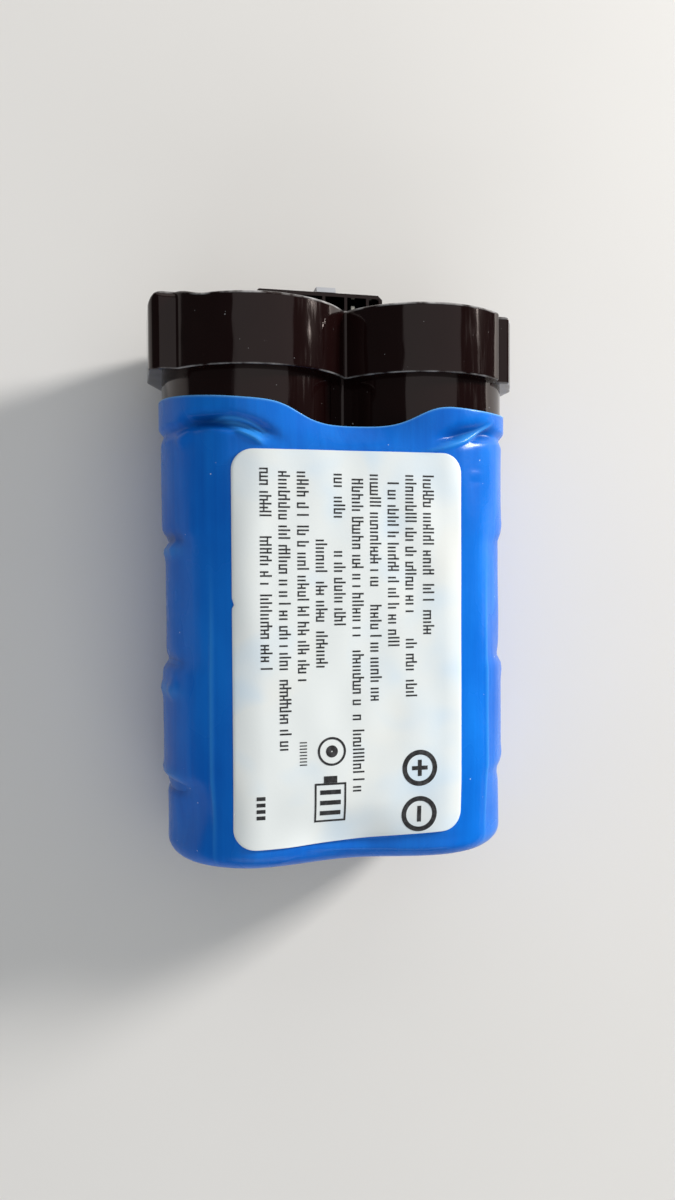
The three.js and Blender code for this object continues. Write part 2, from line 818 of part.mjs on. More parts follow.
function roundRod(radius, x, y, z, segments) {
  const geometry = new THREE.CylinderGeometry(radius, radius, y[1] - y[0], segments);
  geometry.translate(x, (y[0] + y[1]) / 2, z);
  return geometry;
}

place('thermistor_bead', roundRod(
  THERMISTOR.beadRadius,
  0,
  [THERMISTOR.beadFrom, THERMISTOR.beadTo],
  THERMISTOR.height,
  16,
), 'chip');
[-1, 1].forEach((side, i) => {
  place(`thermistor_lead_${i + 1}`, roundRod(
    THERMISTOR.leadRadius,
    0,
    [THERMISTOR.beadTo + GAP, CELL_END - 1],
    THERMISTOR.height + side * THERMISTOR.leadOffset,
    10,
  ), 'lead');
});

// ---------------------------------------------------------------- rest position

// The origin is under the middle of the whole pack, at its lowest height.
const bounds = new THREE.Box3().setFromObject(pack);
const middle = bounds.getCenter(new THREE.Vector3());
pack.position.set(-middle.x, -middle.y, -bounds.min.z);

export default pack;
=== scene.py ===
"""Two-cell battery pack: a heat-shrunk film sleeve with a label, a moulded end cap and what they hold.

Sizes are in millimetres in the pack's own frame: x runs across both cells, y along them from the
sleeve's closed end to the cap, z out of the label, and z = 0 is the plane of the cell axes.
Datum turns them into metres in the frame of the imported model.
"""

import logging
import math
from collections.abc import Callable
from dataclasses import dataclass, field, replace
from enum import Enum

import bpy
import numpy as np
from mathutils import Matrix, Vector


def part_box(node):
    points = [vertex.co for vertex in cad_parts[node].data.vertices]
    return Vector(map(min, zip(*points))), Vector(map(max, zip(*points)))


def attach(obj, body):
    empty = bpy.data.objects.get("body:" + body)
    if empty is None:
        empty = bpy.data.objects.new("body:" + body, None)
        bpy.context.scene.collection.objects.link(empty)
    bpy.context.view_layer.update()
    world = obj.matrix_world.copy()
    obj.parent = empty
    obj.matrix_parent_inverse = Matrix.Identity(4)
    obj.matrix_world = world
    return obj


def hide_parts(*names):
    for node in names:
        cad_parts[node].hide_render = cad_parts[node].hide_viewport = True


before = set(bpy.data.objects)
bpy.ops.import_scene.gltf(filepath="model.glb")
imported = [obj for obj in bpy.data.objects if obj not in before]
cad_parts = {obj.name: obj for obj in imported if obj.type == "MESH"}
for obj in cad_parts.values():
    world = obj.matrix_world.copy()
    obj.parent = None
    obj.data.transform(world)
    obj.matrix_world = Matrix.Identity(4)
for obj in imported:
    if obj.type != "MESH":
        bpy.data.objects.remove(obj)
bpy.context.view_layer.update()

log = logging.getLogger("battery_pack")

MM = 0.001
FAR_OUT = 99.0


# ------------------------------------------------------------------------------ places and slots


class Slot(Enum):
    """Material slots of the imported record."""

    SLEEVE = "sleeve_film"
    LABEL = "label_film"
    CAP = "cap_plastic"
    CLIP = "clip_plastic"
    CONTACT = "contact_plating"
    STEEL = "can_steel"
    NICKEL = "nickel_sheet"
    ROLL = "electrode_roll"
    WRAP = "wrap_film"
    GASKET = "gasket_plastic"
    BRACKET = "bracket_plastic"
    CARD = "card"
    BOARD = "board_laminate"
    CHIP = "chip_epoxy"
    CERAMIC = "chip_ceramic"
    FOAM = "foam"
    LEAD = "lead_insulation"


@dataclass(frozen=True)
class Datum:
    """Where the pack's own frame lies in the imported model, worked out from two CAD boxes."""

    origin: tuple[float, float, float]

    @classmethod
    def from_frame(cls) -> "Datum":
        """Find the sleeve's middle and closed end, and the height of the cell axes.

        Returns:
            Datum: the place of the pack's own origin, in metres.
        """
        sleeve_low, sleeve_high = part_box("shrink_sleeve")
        cap_low, cap_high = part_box("cap_shell")
        middle = (sleeve_low.x + sleeve_high.x) / 2
        return cls((middle, sleeve_low.y, (cap_low.z + cap_high.z) / 2))

    def metres(self, points: np.ndarray) -> np.ndarray:
        """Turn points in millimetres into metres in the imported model's frame.

        Args:
            points: places in the pack's own frame, with x, y and z on the last axis.

        Returns:
            np.ndarray: the same places in the frame, in metres.
        """
        return np.asarray(points, float) * MM + self.origin


DATUM = Datum.from_frame()


# ------------------------------------------------------------------------------ numbers on arrays


def smoothstep(low: float, high: float, value: np.ndarray) -> np.ndarray:
    """Rise smoothly from 0 at low to 1 at high.

    Args:
        low: where the rise starts.
        high: where it ends.
        value: the numbers to map.

    Returns:
        np.ndarray: 3t squared minus 2t cubed, with t clipped to 0 to 1.
    """
    t = np.clip((np.asarray(value, float) - low) / (high - low), 0.0, 1.0)
    return t * t * (3.0 - 2.0 * t)


def graded(stops: list[tuple[float, float]]) -> np.ndarray:
    """Place numbers along a line with a spacing that changes from stretch to stretch.

    Args:
        stops: pairs of where a stretch ends and the spacing inside it; the first spacing is unused.

    Returns:
        np.ndarray: increasing numbers that include every stop.
    """
    parts = [np.array([stops[0][0]])]
    for (start, _), (end, step) in zip(stops, stops[1:]):
        count = max(int(round((end - start) / step)), 1)
        parts.append(np.linspace(start, end, count + 1)[1:])
    return np.concatenate(parts)


def column(*values: float) -> np.ndarray:
    """Stand numbers in a column, one row for each."""
    return np.array(values, float)[:, None]


def round_corner(radius: float, steps: int) -> tuple[np.ndarray, np.ndarray]:
    """Give the two distances of a quarter round from the corner that it takes off.

    Args:
        radius: the round's radius.
        steps: how many stretches the quarter has.

    Returns:
        tuple[np.ndarray, np.ndarray]: distances from one side and from the other along the round.
    """
    angle = np.linspace(0.0, np.pi / 2, steps + 1)
    return radius * (1 - np.sin(angle)), radius * (1 - np.cos(angle))


# ------------------------------------------------------------------------------ meshes


def new_mesh(name: str, points: np.ndarray, quads: np.ndarray, smooth: bool = True) -> bpy.types.Object:
    """Make an object from points in millimetres and four-cornered faces.

    The enclosed volume, a sum of triple products over the faces, tells whether the faces point in;
    if they do, every face is turned round.

    Args:
        name: the piece's name.
        points: an N by 3 array in the pack's own frame.
        quads: an M by 4 array of point numbers.
        smooth: whether the faces are shaded smooth.

    Returns:
        bpy.types.Object: the new object, at the origin.
    """
    points = DATUM.metres(points)
    corners = points[quads] - points.mean(axis=0)
    first = np.einsum("ij,ij->i", corners[:, 0], np.cross(corners[:, 1], corners[:, 2]))
    second = np.einsum("ij,ij->i", corners[:, 0], np.cross(corners[:, 2], corners[:, 3]))
    if (first + second).sum() < 0:
        quads = quads[:, ::-1]
    mesh = bpy.data.meshes.new(name)
    mesh.vertices.add(len(points))
    mesh.vertices.foreach_set("co", points.astype(np.float32).ravel())
    mesh.loops.add(quads.size)
    mesh.loops.foreach_set("vertex_index", quads.astype(np.int32).ravel())
    mesh.polygons.add(len(quads))
    mesh.polygons.foreach_set("loop_start", np.arange(0, quads.size, 4, dtype=np.int32))
    mesh.polygons.foreach_set("use_smooth", np.full(len(quads), smooth))
    mesh.update(calc_edges=True)
    mesh.validate()
    piece = bpy.data.objects.new(name, mesh)
    bpy.context.scene.collection.objects.link(piece)
    return piece


def ring_quads(rows: int, columns: int, closed_rows: bool) -> np.ndarray:
    """Number the faces between rows of points that are each a closed loop.

    Args:
        rows: how many loops there are.
        columns: how many points a loop has.
        closed_rows: whether the last loop joins the first one.

    Returns:
        np.ndarray: an M by 4 array of point numbers.
    """
    row = np.arange(rows if closed_rows else rows - 1)[:, None]
    after = (row + 1) % rows
    place = np.arange(columns)[None, :]
    beside = (place + 1) % columns
    steps = [(row, place), (after, place), (after, beside), (row, beside)]
    corners = [across * columns + along for across, along in steps]
    return np.stack(np.broadcast_arrays(*corners), axis=-1).reshape(-1, 4)


def fan_quads(start: int, columns: int) -> np.ndarray:
    """Cover a loop that was made of a line and the same line reversed.

    Args:
        start: the number of the loop's first point.
        columns: how many points the loop has.

    Returns:
        np.ndarray: faces between each stretch of the line and the stretch opposite.
    """
    j = np.arange(columns // 2 - 1)
    return start + np.stack([j, j + 1, columns - 2 - j, columns - 1 - j], axis=-1)


def store_mask(piece: bpy.types.Object, name: str, values: np.ndarray) -> None:
    """Keep one number for each point of a piece, for its material to read.

    Args:
        piece: the piece.
        name: the attribute's name.
        values: one number for each point.
    """
    attribute = piece.data.attributes.new(name, "FLOAT", "POINT")
    attribute.data.foreach_set("value", np.asarray(values, np.float32).ravel())


def hand_over(piece: bpy.types.Object, slot: Slot, material: bpy.types.Material, *nodes: str) -> None:
    """Dress a new piece, let it ride on the pack's only body and say what it stands for.

    Args:
        piece: the new piece.
        slot: the record's slot that it stands for, which is only logged.
        material: its material.
        nodes: the CAD nodes that it replaces.
    """
    piece.data.materials.append(material)
    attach(piece, "root")
    if nodes:
        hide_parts(*nodes)
    log.info("%s: %d faces, slot %s", piece.name, len(piece.data.polygons), slot.value)


# ------------------------------------------------------------------------------ shader arithmetic


class Value:
    """A socket that takes part in Python arithmetic by adding Math nodes."""

    def __init__(self, tree: bpy.types.NodeTree, socket: bpy.types.NodeSocket) -> None:
        """Wrap a socket of a node tree."""
        self.tree = tree
        self.socket = socket

    def _math(self, operation: str, *operands: "Value | float", clamp: bool = False) -> "Value":
        """Add a Math node.

        Args:
            operation: the node's operation.
            operands: its inputs, in order.
            clamp: whether the result is kept between 0 and 1.

        Returns:
            Value: the node's output.
        """
        node = self.tree.nodes.new("ShaderNodeMath")
        node.operation = operation
        node.use_clamp = clamp
        for socket, operand in zip(node.inputs, operands):
            if isinstance(operand, Value):
                self.tree.links.new(operand.socket, socket)
            else:
                socket.default_value = float(operand)
        return Value(self.tree, node.outputs[0])

    def __add__(self, other: "Value | float") -> "Value":
        """Add."""
        return self._math("ADD", self, other)

    __radd__ = __add__

    def __sub__(self, other: "Value | float") -> "Value":
        """Subtract."""
        return self._math("SUBTRACT", self, other)

    def __rsub__(self, other: float) -> "Value":
        """Subtract from a number."""
        return self._math("SUBTRACT", other, self)

    def __mul__(self, other: "Value | float") -> "Value":
        """Multiply."""
        return self._math("MULTIPLY", self, other)

    __rmul__ = __mul__

    def clamp(self) -> "Value":
        """Keep between 0 and 1."""
        return self._math("ADD", self, 0.0, clamp=True)

    def rise(self, low: float, high: float) -> "Value":
        """Rise in a straight line from 0 at low to 1 at high, and stay within them."""
        return self._math("MULTIPLY", self - low, 1.0 / (high - low), clamp=True)


class Dressing:
    """A new material with one Principled shader, and short ways to feed it."""

    def __init__(self, name: str) -> None:
        """Start a material.

        Args:
            name: the material's name.
        """
        self.material = bpy.data.materials.new(name)
        self.material.use_nodes = True
        self.tree = self.material.node_tree
        self.tree.nodes.clear()
        self.output = self.tree.nodes.new("ShaderNodeOutputMaterial")
        self.shader = self.tree.nodes.new("ShaderNodeBsdfPrincipled")
        self.tree.links.new(self.shader.outputs[0], self.output.inputs["Surface"])
        self.coordinates = self.tree.nodes.new("ShaderNodeTexCoord").outputs["Object"]

    def node(self, kind: str, settings: dict | None = None, inputs: dict | None = None) -> bpy.types.Node:
        """Add any node.

        Args:
            kind: the node's type, without its ShaderNode prefix.
            settings: attributes of the node, which are set before its sockets.
            inputs: values or links by socket name or number.

        Returns:
            bpy.types.Node: the node.
        """
        made = self.tree.nodes.new("ShaderNode" + kind)
        for key, value in (settings or {}).items():
            setattr(made, key, value)
        for key, value in (inputs or {}).items():
            self.feed(made.inputs[key], value)
        return made

    def feed(self, socket: bpy.types.NodeSocket, value: object) -> None:
        """Link or set a socket.

        Args:
            socket: the input.
            value: a Value, a socket, a colour or a number.
        """
        if isinstance(value, Value):
            value = value.socket
        if isinstance(value, bpy.types.NodeSocket):
            self.tree.links.new(value, socket)
        elif isinstance(value, (tuple, list)) and len(value) == 3 and socket.type == "RGBA":
            socket.default_value = (*value, 1.0)
        else:
            socket.default_value = value

    def placed(self, stretch: tuple[float, float, float]) -> bpy.types.NodeSocket:
        """Give Object coordinates in units of a feature's size.

        Args:
            stretch: the feature's size along x, y and z, in millimetres.

        Returns:
            bpy.types.NodeSocket: the scaled coordinates.
        """
        scale = tuple(1.0 / (size * MM) for size in stretch)
        mapping = self.node("Mapping", inputs={"Vector": self.coordinates, "Scale": scale})
        return mapping.outputs[0]

    def noise(self, stretch: tuple[float, float, float], detail: float = 3.0, rough: float = 0.5) -> Value:
        """Add a noise pattern.

        Args:
            stretch: the pattern's size along x, y and z, in millimetres.
            detail: how many finer layers it has.
            rough: how strong the finer layers are.

        Returns:
            Value: numbers about 0.5.
        """
        inputs = {"Vector": self.placed(stretch), "Scale": 1.0, "Detail": detail, "Roughness": rough}
        return Value(self.tree, self.node("TexNoise", inputs=inputs).outputs[0])

    def specks(self, spacing: float, size: float) -> Value:
        """Scatter small round specks.

        A Voronoi cell holds one speck, and a coarse noise leaves most cells bare.

        Args:
            spacing: the cells' size in millimetres.
            size: the specks' radius as a share of a cell.

        Returns:
            Value: 1 on a speck and 0 elsewhere.
        """
        inputs = {"Vector": self.placed((spacing, spacing, spacing)), "Scale": 1.0}
        distance = Value(self.tree, self.node("TexVoronoi", inputs=inputs).outputs["Distance"])
        spared = self.noise((spacing * 2.2,) * 3, detail=0.0).rise(0.56, 0.6)
        return (1.0 - distance.rise(size * 0.7, size)) * spared

    def attribute(self, name: str) -> Value:
        """Read a number that was stored at the piece's points."""
        return Value(self.tree, self.node("Attribute", {"attribute_name": name}).outputs["Fac"])

    def mix(self, factor: Value, first: object, second: object) -> bpy.types.NodeSocket:
        """Mix two colours.

        Args:
            factor: 0 for the first colour and 1 for the second.
            first: a colour or a colour socket.
            second: a colour or a colour socket.

        Returns:
            bpy.types.NodeSocket: the mixed colour.
        """
        made = self.node("Mix", {"data_type": "RGBA"}, {0: factor, 6: first, 7: second})
        return made.outputs[2]

    def bump(self, height: Value, depth: float) -> bpy.types.NodeSocket:
        """Turn a height into a normal.

        Args:
            height: the height, about 0 to 1.
            depth: what a height of 1 stands for, in millimetres.

        Returns:
            bpy.types.NodeSocket: the normal.
        """
        inputs = {"Strength": 1.0, "Distance": depth * MM, "Height": height}
        return self.node("Bump", inputs=inputs).outputs[0]

    def finish(self, **inputs: object) -> bpy.types.Material:
        """Feed the shader and give the material.

        Args:
            inputs: the shader's sockets by name, with _ for a space.

        Returns:
            bpy.types.Material: the finished material.
        """
        for key, value in inputs.items():
            self.feed(self.shader.inputs[key.replace("_", " ")], value)
        return self.material


# ------------------------------------------------------------------------------ finishes


Colour = tuple[float, float, float]


@dataclass(frozen=True)
class ShrinkFilm:
    """Glossy blue film with faint draw lines and dust, paler along creases, with a painted highlight on its
    cut edge and on fold crests and painted shade in its dents and recesses.
    """

    deep: Colour = (0.002, 0.128, 0.60)
    pale: Colour = (0.004, 0.185, 0.74)
    # Paler creases from stress, and also a painted highlight on fold crests.
    stressed_and_highlight: Colour = (0.05, 0.34, 0.85)
    # Painted highlight along the cut edge.
    cut_edge_highlight: Colour = (0.16, 0.50, 0.95)
    # Painted shade where the film sinks into dents and recesses.
    hollow: Colour = (0.001, 0.045, 0.24)
    dust: Colour = (0.55, 0.68, 0.85)

    def material(self) -> bpy.types.Material:
        """Build the film's material: tint, draw lines along y, dust, painted shade in hollows, paler
        creases with a painted highlight on fold crests, and a painted highlight on the cut edge.

        Returns:
            bpy.types.Material: the finished material.
        """
        dressing = Dressing("shrink_film")
        cloud = dressing.noise((9.0, 16.0, 9.0), detail=3.0)
        lines = dressing.noise((0.8, 40.0, 0.8), detail=2.0)
        tint = (cloud * 0.75 + lines * 0.25).rise(0.36, 0.66)
        colour = dressing.mix(tint, self.deep, self.pale)
        # Painted shade where the film sinks.
        colour = dressing.mix(dressing.attribute("hollow"), colour, self.hollow)
        # Paler creases, and a painted highlight on fold crests.
        colour = dressing.mix(dressing.attribute("crease"), colour, self.stressed_and_highlight)
        colour = dressing.mix(dressing.specks(1.7, 0.06), colour, self.dust)
        # Painted highlight along the cut edge.
        colour = dressing.mix(dressing.attribute("cut_edge_highlight"), colour, self.cut_edge_highlight)
        orange_peel = dressing.noise((1.3, 1.3, 1.3), detail=2.0)
        height = lines * 0.5 + orange_peel * 0.5
        return dressing.finish(
            Base_Color=colour,
            Roughness=0.2 + cloud * 0.14,
            Normal=dressing.bump(height, 0.05),
            IOR=1.3,
        )


@dataclass(frozen=True)
class LabelFilm:
    """Satin white label with faint cool and warm clouds where the gloss is scuffed."""

    white: Colour = (0.86, 0.90, 0.895)
    cool: Colour = (0.67, 0.82, 0.95)
    warm: Colour = (0.88, 0.895, 0.86)

    def material(self) -> bpy.types.Material:
        """Build the label's material: clouds of tint and a fine paper tooth.

        Returns:
            bpy.types.Material: the finished material.
        """
        dressing = Dressing("label_film")
        cloud = dressing.noise((13.0, 10.0, 40.0), detail=2.0)
        patch = dressing.noise((7.0, 9.0, 40.0), detail=1.0)
        colour = dressing.mix(cloud.rise(0.5, 0.72) * 0.8, self.white, self.cool)
        colour = dressing.mix(patch.rise(0.52, 0.7) * 0.7, colour, self.warm)
        tooth = dressing.noise((0.35, 0.35, 0.35), detail=3.0)
        return dressing.finish(
            Base_Color=colour,
            Roughness=0.42 + patch * 0.15,
            Normal=dressing.bump(tooth, 0.006),
            IOR=1.46,
        )


@dataclass(frozen=True)
class Ink:
    """Matt black print, a little worn."""

    black: Colour = (0.012, 0.011, 0.012)
    worn: Colour = (0.06, 0.06, 0.065)

    def material(self) -> bpy.types.Material:
        """Build the ink's material: fine wear in the colour and the roughness.

        Returns:
            bpy.types.Material: the finished material.
        """
        dressing = Dressing("label_ink")
        wear = dressing.noise((0.5, 0.5, 0.5), detail=4.0).rise(0.45, 0.75)
        colour = dressing.mix(wear, self.black, self.worn)
        return dressing.finish(Base_Color=colour, Roughness=0.5 + wear * 0.2)


@dataclass(frozen=True)
class MouldedPlastic:
    """Injection-moulded plastic with flow clouds, fine scratches, dust, and pale edges that are partly wear
    and partly a painted highlight.
    """

    name: str
    body: Colour
    cloud: Colour
    roughness: float
    dust: float = 0.0
    # Colour of dust, and of the pale edges that are partly wear and partly a painted highlight.
    dust_wear_and_highlight_colour: Colour = (0.55, 0.55, 0.56)
    gloss_tint: Colour = (1.0, 1.0, 1.0)

    def material(self) -> bpy.types.Material:
        """Build the plastic's material: clouds, rubbed streaks, dust, worn edges with a painted highlight,
        and sinks in the wall.

        Returns:
            bpy.types.Material: the finished material.
        """
        dressing = Dressing(self.name)
        cloud = dressing.noise((6.0, 9.0, 6.0), detail=4.0)
        rub = dressing.noise((0.5, 6.0, 0.5), detail=3.0)
        colour = dressing.mix(cloud.rise(0.35, 0.7), self.body, self.cloud)
        if self.dust:
            specks = (dressing.specks(1.9, 0.06) + dressing.specks(0.9, 0.06) * 0.6).clamp()
            colour = dressing.mix(specks * self.dust, colour, self.dust_wear_and_highlight_colour)
            # Pale edges: partly wear, partly a painted highlight along the rim and the lip's lower edge.
            edge_patches = dressing.noise((2.5, 2.5, 2.5), detail=4.0).rise(0.4, 0.62)
            colour = dressing.mix(dressing.attribute("edge_wear_and_highlight") * edge_patches, colour, self.dust_wear_and_highlight_colour)
        sink = dressing.noise((5.0, 7.0, 5.0), detail=1.0)
        return dressing.finish(
            Base_Color=colour,
            Roughness=self.roughness + rub.rise(0.5, 0.75) * 0.1,
            Normal=dressing.bump(sink, 0.10),
            IOR=1.5,
            Specular_Tint=self.gloss_tint,
        )


@dataclass(frozen=True)
class SheetMetal:
    """Plated or bare sheet with brushing along one axis."""

    name: str
    bright: Colour
    dull: Colour
    roughness: float
    brushing: tuple[float, float, float] = (0.15, 8.0, 0.15)

    def material(self) -> bpy.types.Material:
        """Build the metal's material: brushed streaks and cloudy tarnish.

        Returns:
            bpy.types.Material: the finished material.
        """
        dressing = Dressing(self.name)
        streak = dressing.noise(self.brushing, detail=3.0)
        tarnish = dressing.noise((4.0, 4.0, 4.0), detail=4.0).rise(0.4, 0.7)
        return dressing.finish(
            Base_Color=dressing.mix(tarnish, self.bright, self.dull),
            Roughness=self.roughness + streak * 0.2,
            Metallic=1.0,
            Normal=dressing.bump(streak, 0.004),
        )


@dataclass(frozen=True)
class ThinFilm:
    """Coloured thin film or rubbery covering with a soft sheen."""

    name: str
    body: Colour
    shade: Colour
    roughness: float
    grain: tuple[float, float, float] = (3.0, 3.0, 3.0)
    depth: float = 0.01

    def material(self) -> bpy.types.Material:
        """Build the material: two tints over a grain that also gives the bump.

        Returns:
            bpy.types.Material: the finished material.
        """
        dressing = Dressing(self.name)
        grain = dressing.noise(self.grain, detail=4.0)
        return dressing.finish(
            Base_Color=dressing.mix(grain.rise(0.35, 0.7), self.body, self.shade),
            Roughness=self.roughness + grain * 0.15,
            Normal=dressing.bump(grain, self.depth),
        )


@dataclass(frozen=True)
class WoundRoll:
    """Wound electrodes: fine dark and copper layers about each cell's axis."""

    dark: Colour = (0.05, 0.045, 0.042)
    copper: Colour = (0.42, 0.20, 0.11)

    def material(self) -> bpy.types.Material:
        """Build the roll's material: bands that alternate across x and z.

        Returns:
            bpy.types.Material: the finished material.
        """
        dressing = Dressing("electrode_roll")
        layers = dressing.noise((0.25, 30.0, 0.25), detail=1.0)
        colour = dressing.mix(layers.rise(0.45, 0.55), self.dark, self.copper)
        return dressing.finish(Base_Color=colour, Roughness=0.5 + layers * 0.2, Metallic=0.4)


@dataclass(frozen=True)
class BoardLaminate:
    """Green solder mask over glass cloth, with paler copper areas under it."""

    mask: Colour = (0.006, 0.075, 0.025)
    over_copper: Colour = (0.018, 0.15, 0.045)

    def material(self) -> bpy.types.Material:
        """Build the board's material: block-shaped copper areas and a cloth weave.

        Returns:
            bpy.types.Material: the finished material.
        """
        dressing = Dressing("board_laminate")
        settings = {"distance": "CHEBYCHEV"}
        inputs = {"Vector": dressing.placed((4.0, 4.0, 4.0)), "Scale": 1.0}
        areas = Value(dressing.tree, dressing.node("TexVoronoi", settings, inputs).outputs["Distance"])
        weave = dressing.noise((0.3, 0.3, 0.3), detail=1.0)
        copper = areas.rise(0.42, 0.46)
        return dressing.finish(
            Base_Color=dressing.mix(copper, self.over_copper, self.mask),
            Roughness=0.3 + weave * 0.2,
            Normal=dressing.bump(weave * 0.4 + copper * 0.6, 0.02),
        )


@dataclass(frozen=True)
class StudioFloor:
    """Pale plain board with a barely seen mottle."""

    pale: Colour = (0.78, 0.765, 0.745)
    shade: Colour = (0.74, 0.725, 0.705)

    def material(self) -> bpy.types.Material:
        """Build the floor's material: two tints in a broad mottle.

        Returns:
            bpy.types.Material: the finished material.
        """
        dressing = Dressing("studio_floor")
        mottle = dressing.noise((60.0, 60.0, 60.0), detail=4.0)
        return dressing.finish(Base_Color=dressing.mix(mottle, self.pale, self.shade), Roughness=0.8)


BLACK_PLASTIC = MouldedPlastic(
    "cap_plastic",
    body=(0.0065, 0.0014, 0.0014),
    cloud=(0.0085, 0.0028, 0.0026),
    roughness=0.07,
    dust=0.8,
    gloss_tint=(1.0, 0.86, 0.82),
)
FINISHES = {
    Slot.CLIP: MouldedPlastic("clip_plastic", (0.40, 0.42, 0.46), (0.46, 0.47, 0.50), 0.35),
    Slot.CONTACT: SheetMetal("contact_plating", (0.80, 0.76, 0.66), (0.62, 0.58, 0.50), 0.15),
    Slot.STEEL: SheetMetal("can_steel", (0.60, 0.61, 0.62), (0.45, 0.46, 0.47), 0.22),
    Slot.NICKEL: SheetMetal("nickel_sheet", (0.66, 0.64, 0.58), (0.52, 0.50, 0.45), 0.25),
    Slot.ROLL: WoundRoll(),
    Slot.WRAP: ThinFilm("wrap_film", (0.02, 0.30, 0.13), (0.03, 0.36, 0.17), 0.25, (5.0, 12.0, 5.0)),
    Slot.GASKET: ThinFilm("gasket_plastic", (0.70, 0.69, 0.64), (0.62, 0.61, 0.56), 0.5),
    Slot.BRACKET: MouldedPlastic("bracket_plastic", (0.020, 0.021, 0.023), (0.030, 0.031, 0.034), 0.45),
    Slot.CARD: ThinFilm("card", (0.55, 0.48, 0.32), (0.48, 0.41, 0.27), 0.75, (0.5, 0.5, 0.5), 0.03),
    Slot.BOARD: BoardLaminate(),
    Slot.CHIP: MouldedPlastic("chip_epoxy", (0.010, 0.010, 0.011), (0.016, 0.016, 0.017), 0.45),
    Slot.CERAMIC: ThinFilm("chip_ceramic", (0.45, 0.31, 0.18), (0.38, 0.26, 0.15), 0.4, (0.4, 0.4, 0.4)),
    Slot.FOAM: ThinFilm("foam", (0.035, 0.035, 0.038), (0.07, 0.07, 0.075), 0.9, (0.25, 0.25, 0.25), 0.12),
    Slot.LEAD: ThinFilm("lead_insulation", (0.36, 0.018, 0.012), (0.28, 0.014, 0.01), 0.4, (1.0, 1.0, 1.0)),
}


# ------------------------------------------------------------------------------ sleeve


class Shade(Enum):
    """How a fold changes the film's colour: painted shade, paler film that is partly stress whitening and
    partly painted highlight, or a pale crease line.
    """

    NONE = "none"
    PALE_AND_HIGHLIGHT = "pale"
    PAINTED_SHADE = "dark"
    LINE = "line"


@dataclass(frozen=True)
class Ridge:
    """A fold in the film: a long bump or dent, bent to an arc.

    Around is measured over the film from the middle of the label side, towards +x.
    """

    around: float
    height: float
    length: float
    width: float
    rise: float
    turn: float = 0.0
    bend: float = 0.0
    shade: Shade = Shade.NONE

    def lift(self, around: np.ndarray, height: np.ndarray) -> np.ndarray:
        """Work out how far the fold lifts the film.

        In axes turned to lie along the fold, the lift is the rise, times exp(-(a / length) to the
        fourth) along it, times exp(-(b / width) squared) across it, where b is measured from a
        parabola.

        Args:
            around: distance round the film of each point, in millimetres.
            height: distance along the cells of each point, in millimetres.

        Returns:
            np.ndarray: the lift in millimetres.
        """
        cosine, sine = math.cos(math.radians(self.turn)), math.sin(math.radians(self.turn))
        across, up = around - self.around, height - self.height
        along = across * cosine + up * sine
        beside = up * cosine - across * sine + self.bend * along**2
        return self.rise * np.exp(-((along / self.length) ** 4) - (beside / self.width) ** 2)


def crescent_folds() -> list[Ridge]:
    """Give the recess under the cut end on the left lobe, with its nested shrink folds.

    Returns:
        list[Ridge]: the recess, four arcs that shorten and turn one after the other, and a bump.
    """
    recess = Ridge(-17.2, 58.75, 6.0, 0.85, -1.5, turn=-8.0, bend=0.02, shade=Shade.PAINTED_SHADE)
    first = Ridge(-15.0, 58.9, 3.7, 0.25, 0.5, turn=-15.0, bend=0.06, shade=Shade.PALE_AND_HIGHLIGHT)
    arcs = [
        replace(
            first,
            around=first.around + 0.35 * i,
            height=first.height - 0.66 * i,
            length=first.length - 0.6 * i,
            turn=first.turn - 4.0 * i,
        )
        for i in range(4)
    ]
    return [recess, *arcs, Ridge(-23.6, 57.2, 1.5, 1.0, 0.4, turn=35.0)]


def diagonal_folds() -> list[Ridge]:
    """Give the recess under the cut end on the right lobe, with folds that climb to the right.

    Returns:
        list[Ridge]: the recess, and three folds that shorten one after the other.
    """
    recess = Ridge(16.8, 58.1, 4.8, 1.0, -1.1, turn=8.0, bend=0.01, shade=Shade.PAINTED_SHADE)
    first = Ridge(14.8, 56.7, 4.8, 0.28, 0.36, turn=20.0, bend=-0.02, shade=Shade.PALE_AND_HIGHLIGHT)
    climbing = [
        replace(
            first,
            around=first.around + 1.3 * i,
            height=first.height + 0.75 * i,
            length=first.length - 0.9 * i,
        )
        for i in range(3)
    ]
    return [recess, *climbing]


def side_dents() -> list[Ridge]:
    """Give the pinches on both flanks where the film steps over the edges of the brackets.

    Returns:
        list[Ridge]: a dent and a bump by each edge, two shoulders, and a tick beside the label.
    """
    left = [(43.9, -0.75), (42.3, 0.3), (27.2, -0.45), (23.4, 0.3), (10.2, -0.65), (11.8, 0.25)]
    right = [(44.2, -0.42), (46.2, 0.12), (27.4, -0.3), (24.9, 0.14), (10.4, -0.42), (12.9, 0.14)]
    # On the left flank the dents carry painted shade and the bumps a painted highlight.
    pinches = [
        Ridge(-29.9, height, 5.2, 0.85, rise, shade=Shade.PAINTED_SHADE if rise < 0 else Shade.PALE_AND_HIGHLIGHT)
        for height, rise in left
    ]
    pinches += [Ridge(31.5, height, 5.5, 0.85, rise) for height, rise in right]
    shoulders = [
        Ridge(-27.0, 43.2, 1.3, 0.9, 0.3, turn=50.0),
        Ridge(-26.5, 24.0, 1.4, 1.0, 0.32, turn=40.0),
    ]
    tick = [
        Ridge(17.6, 52.4, 1.1, 0.16, 0.10, turn=-4.0),
        Ridge(17.6, 52.0, 1.1, 0.16, -0.08, turn=-4.0),
    ]
    return [*pinches, *shoulders, *tick]


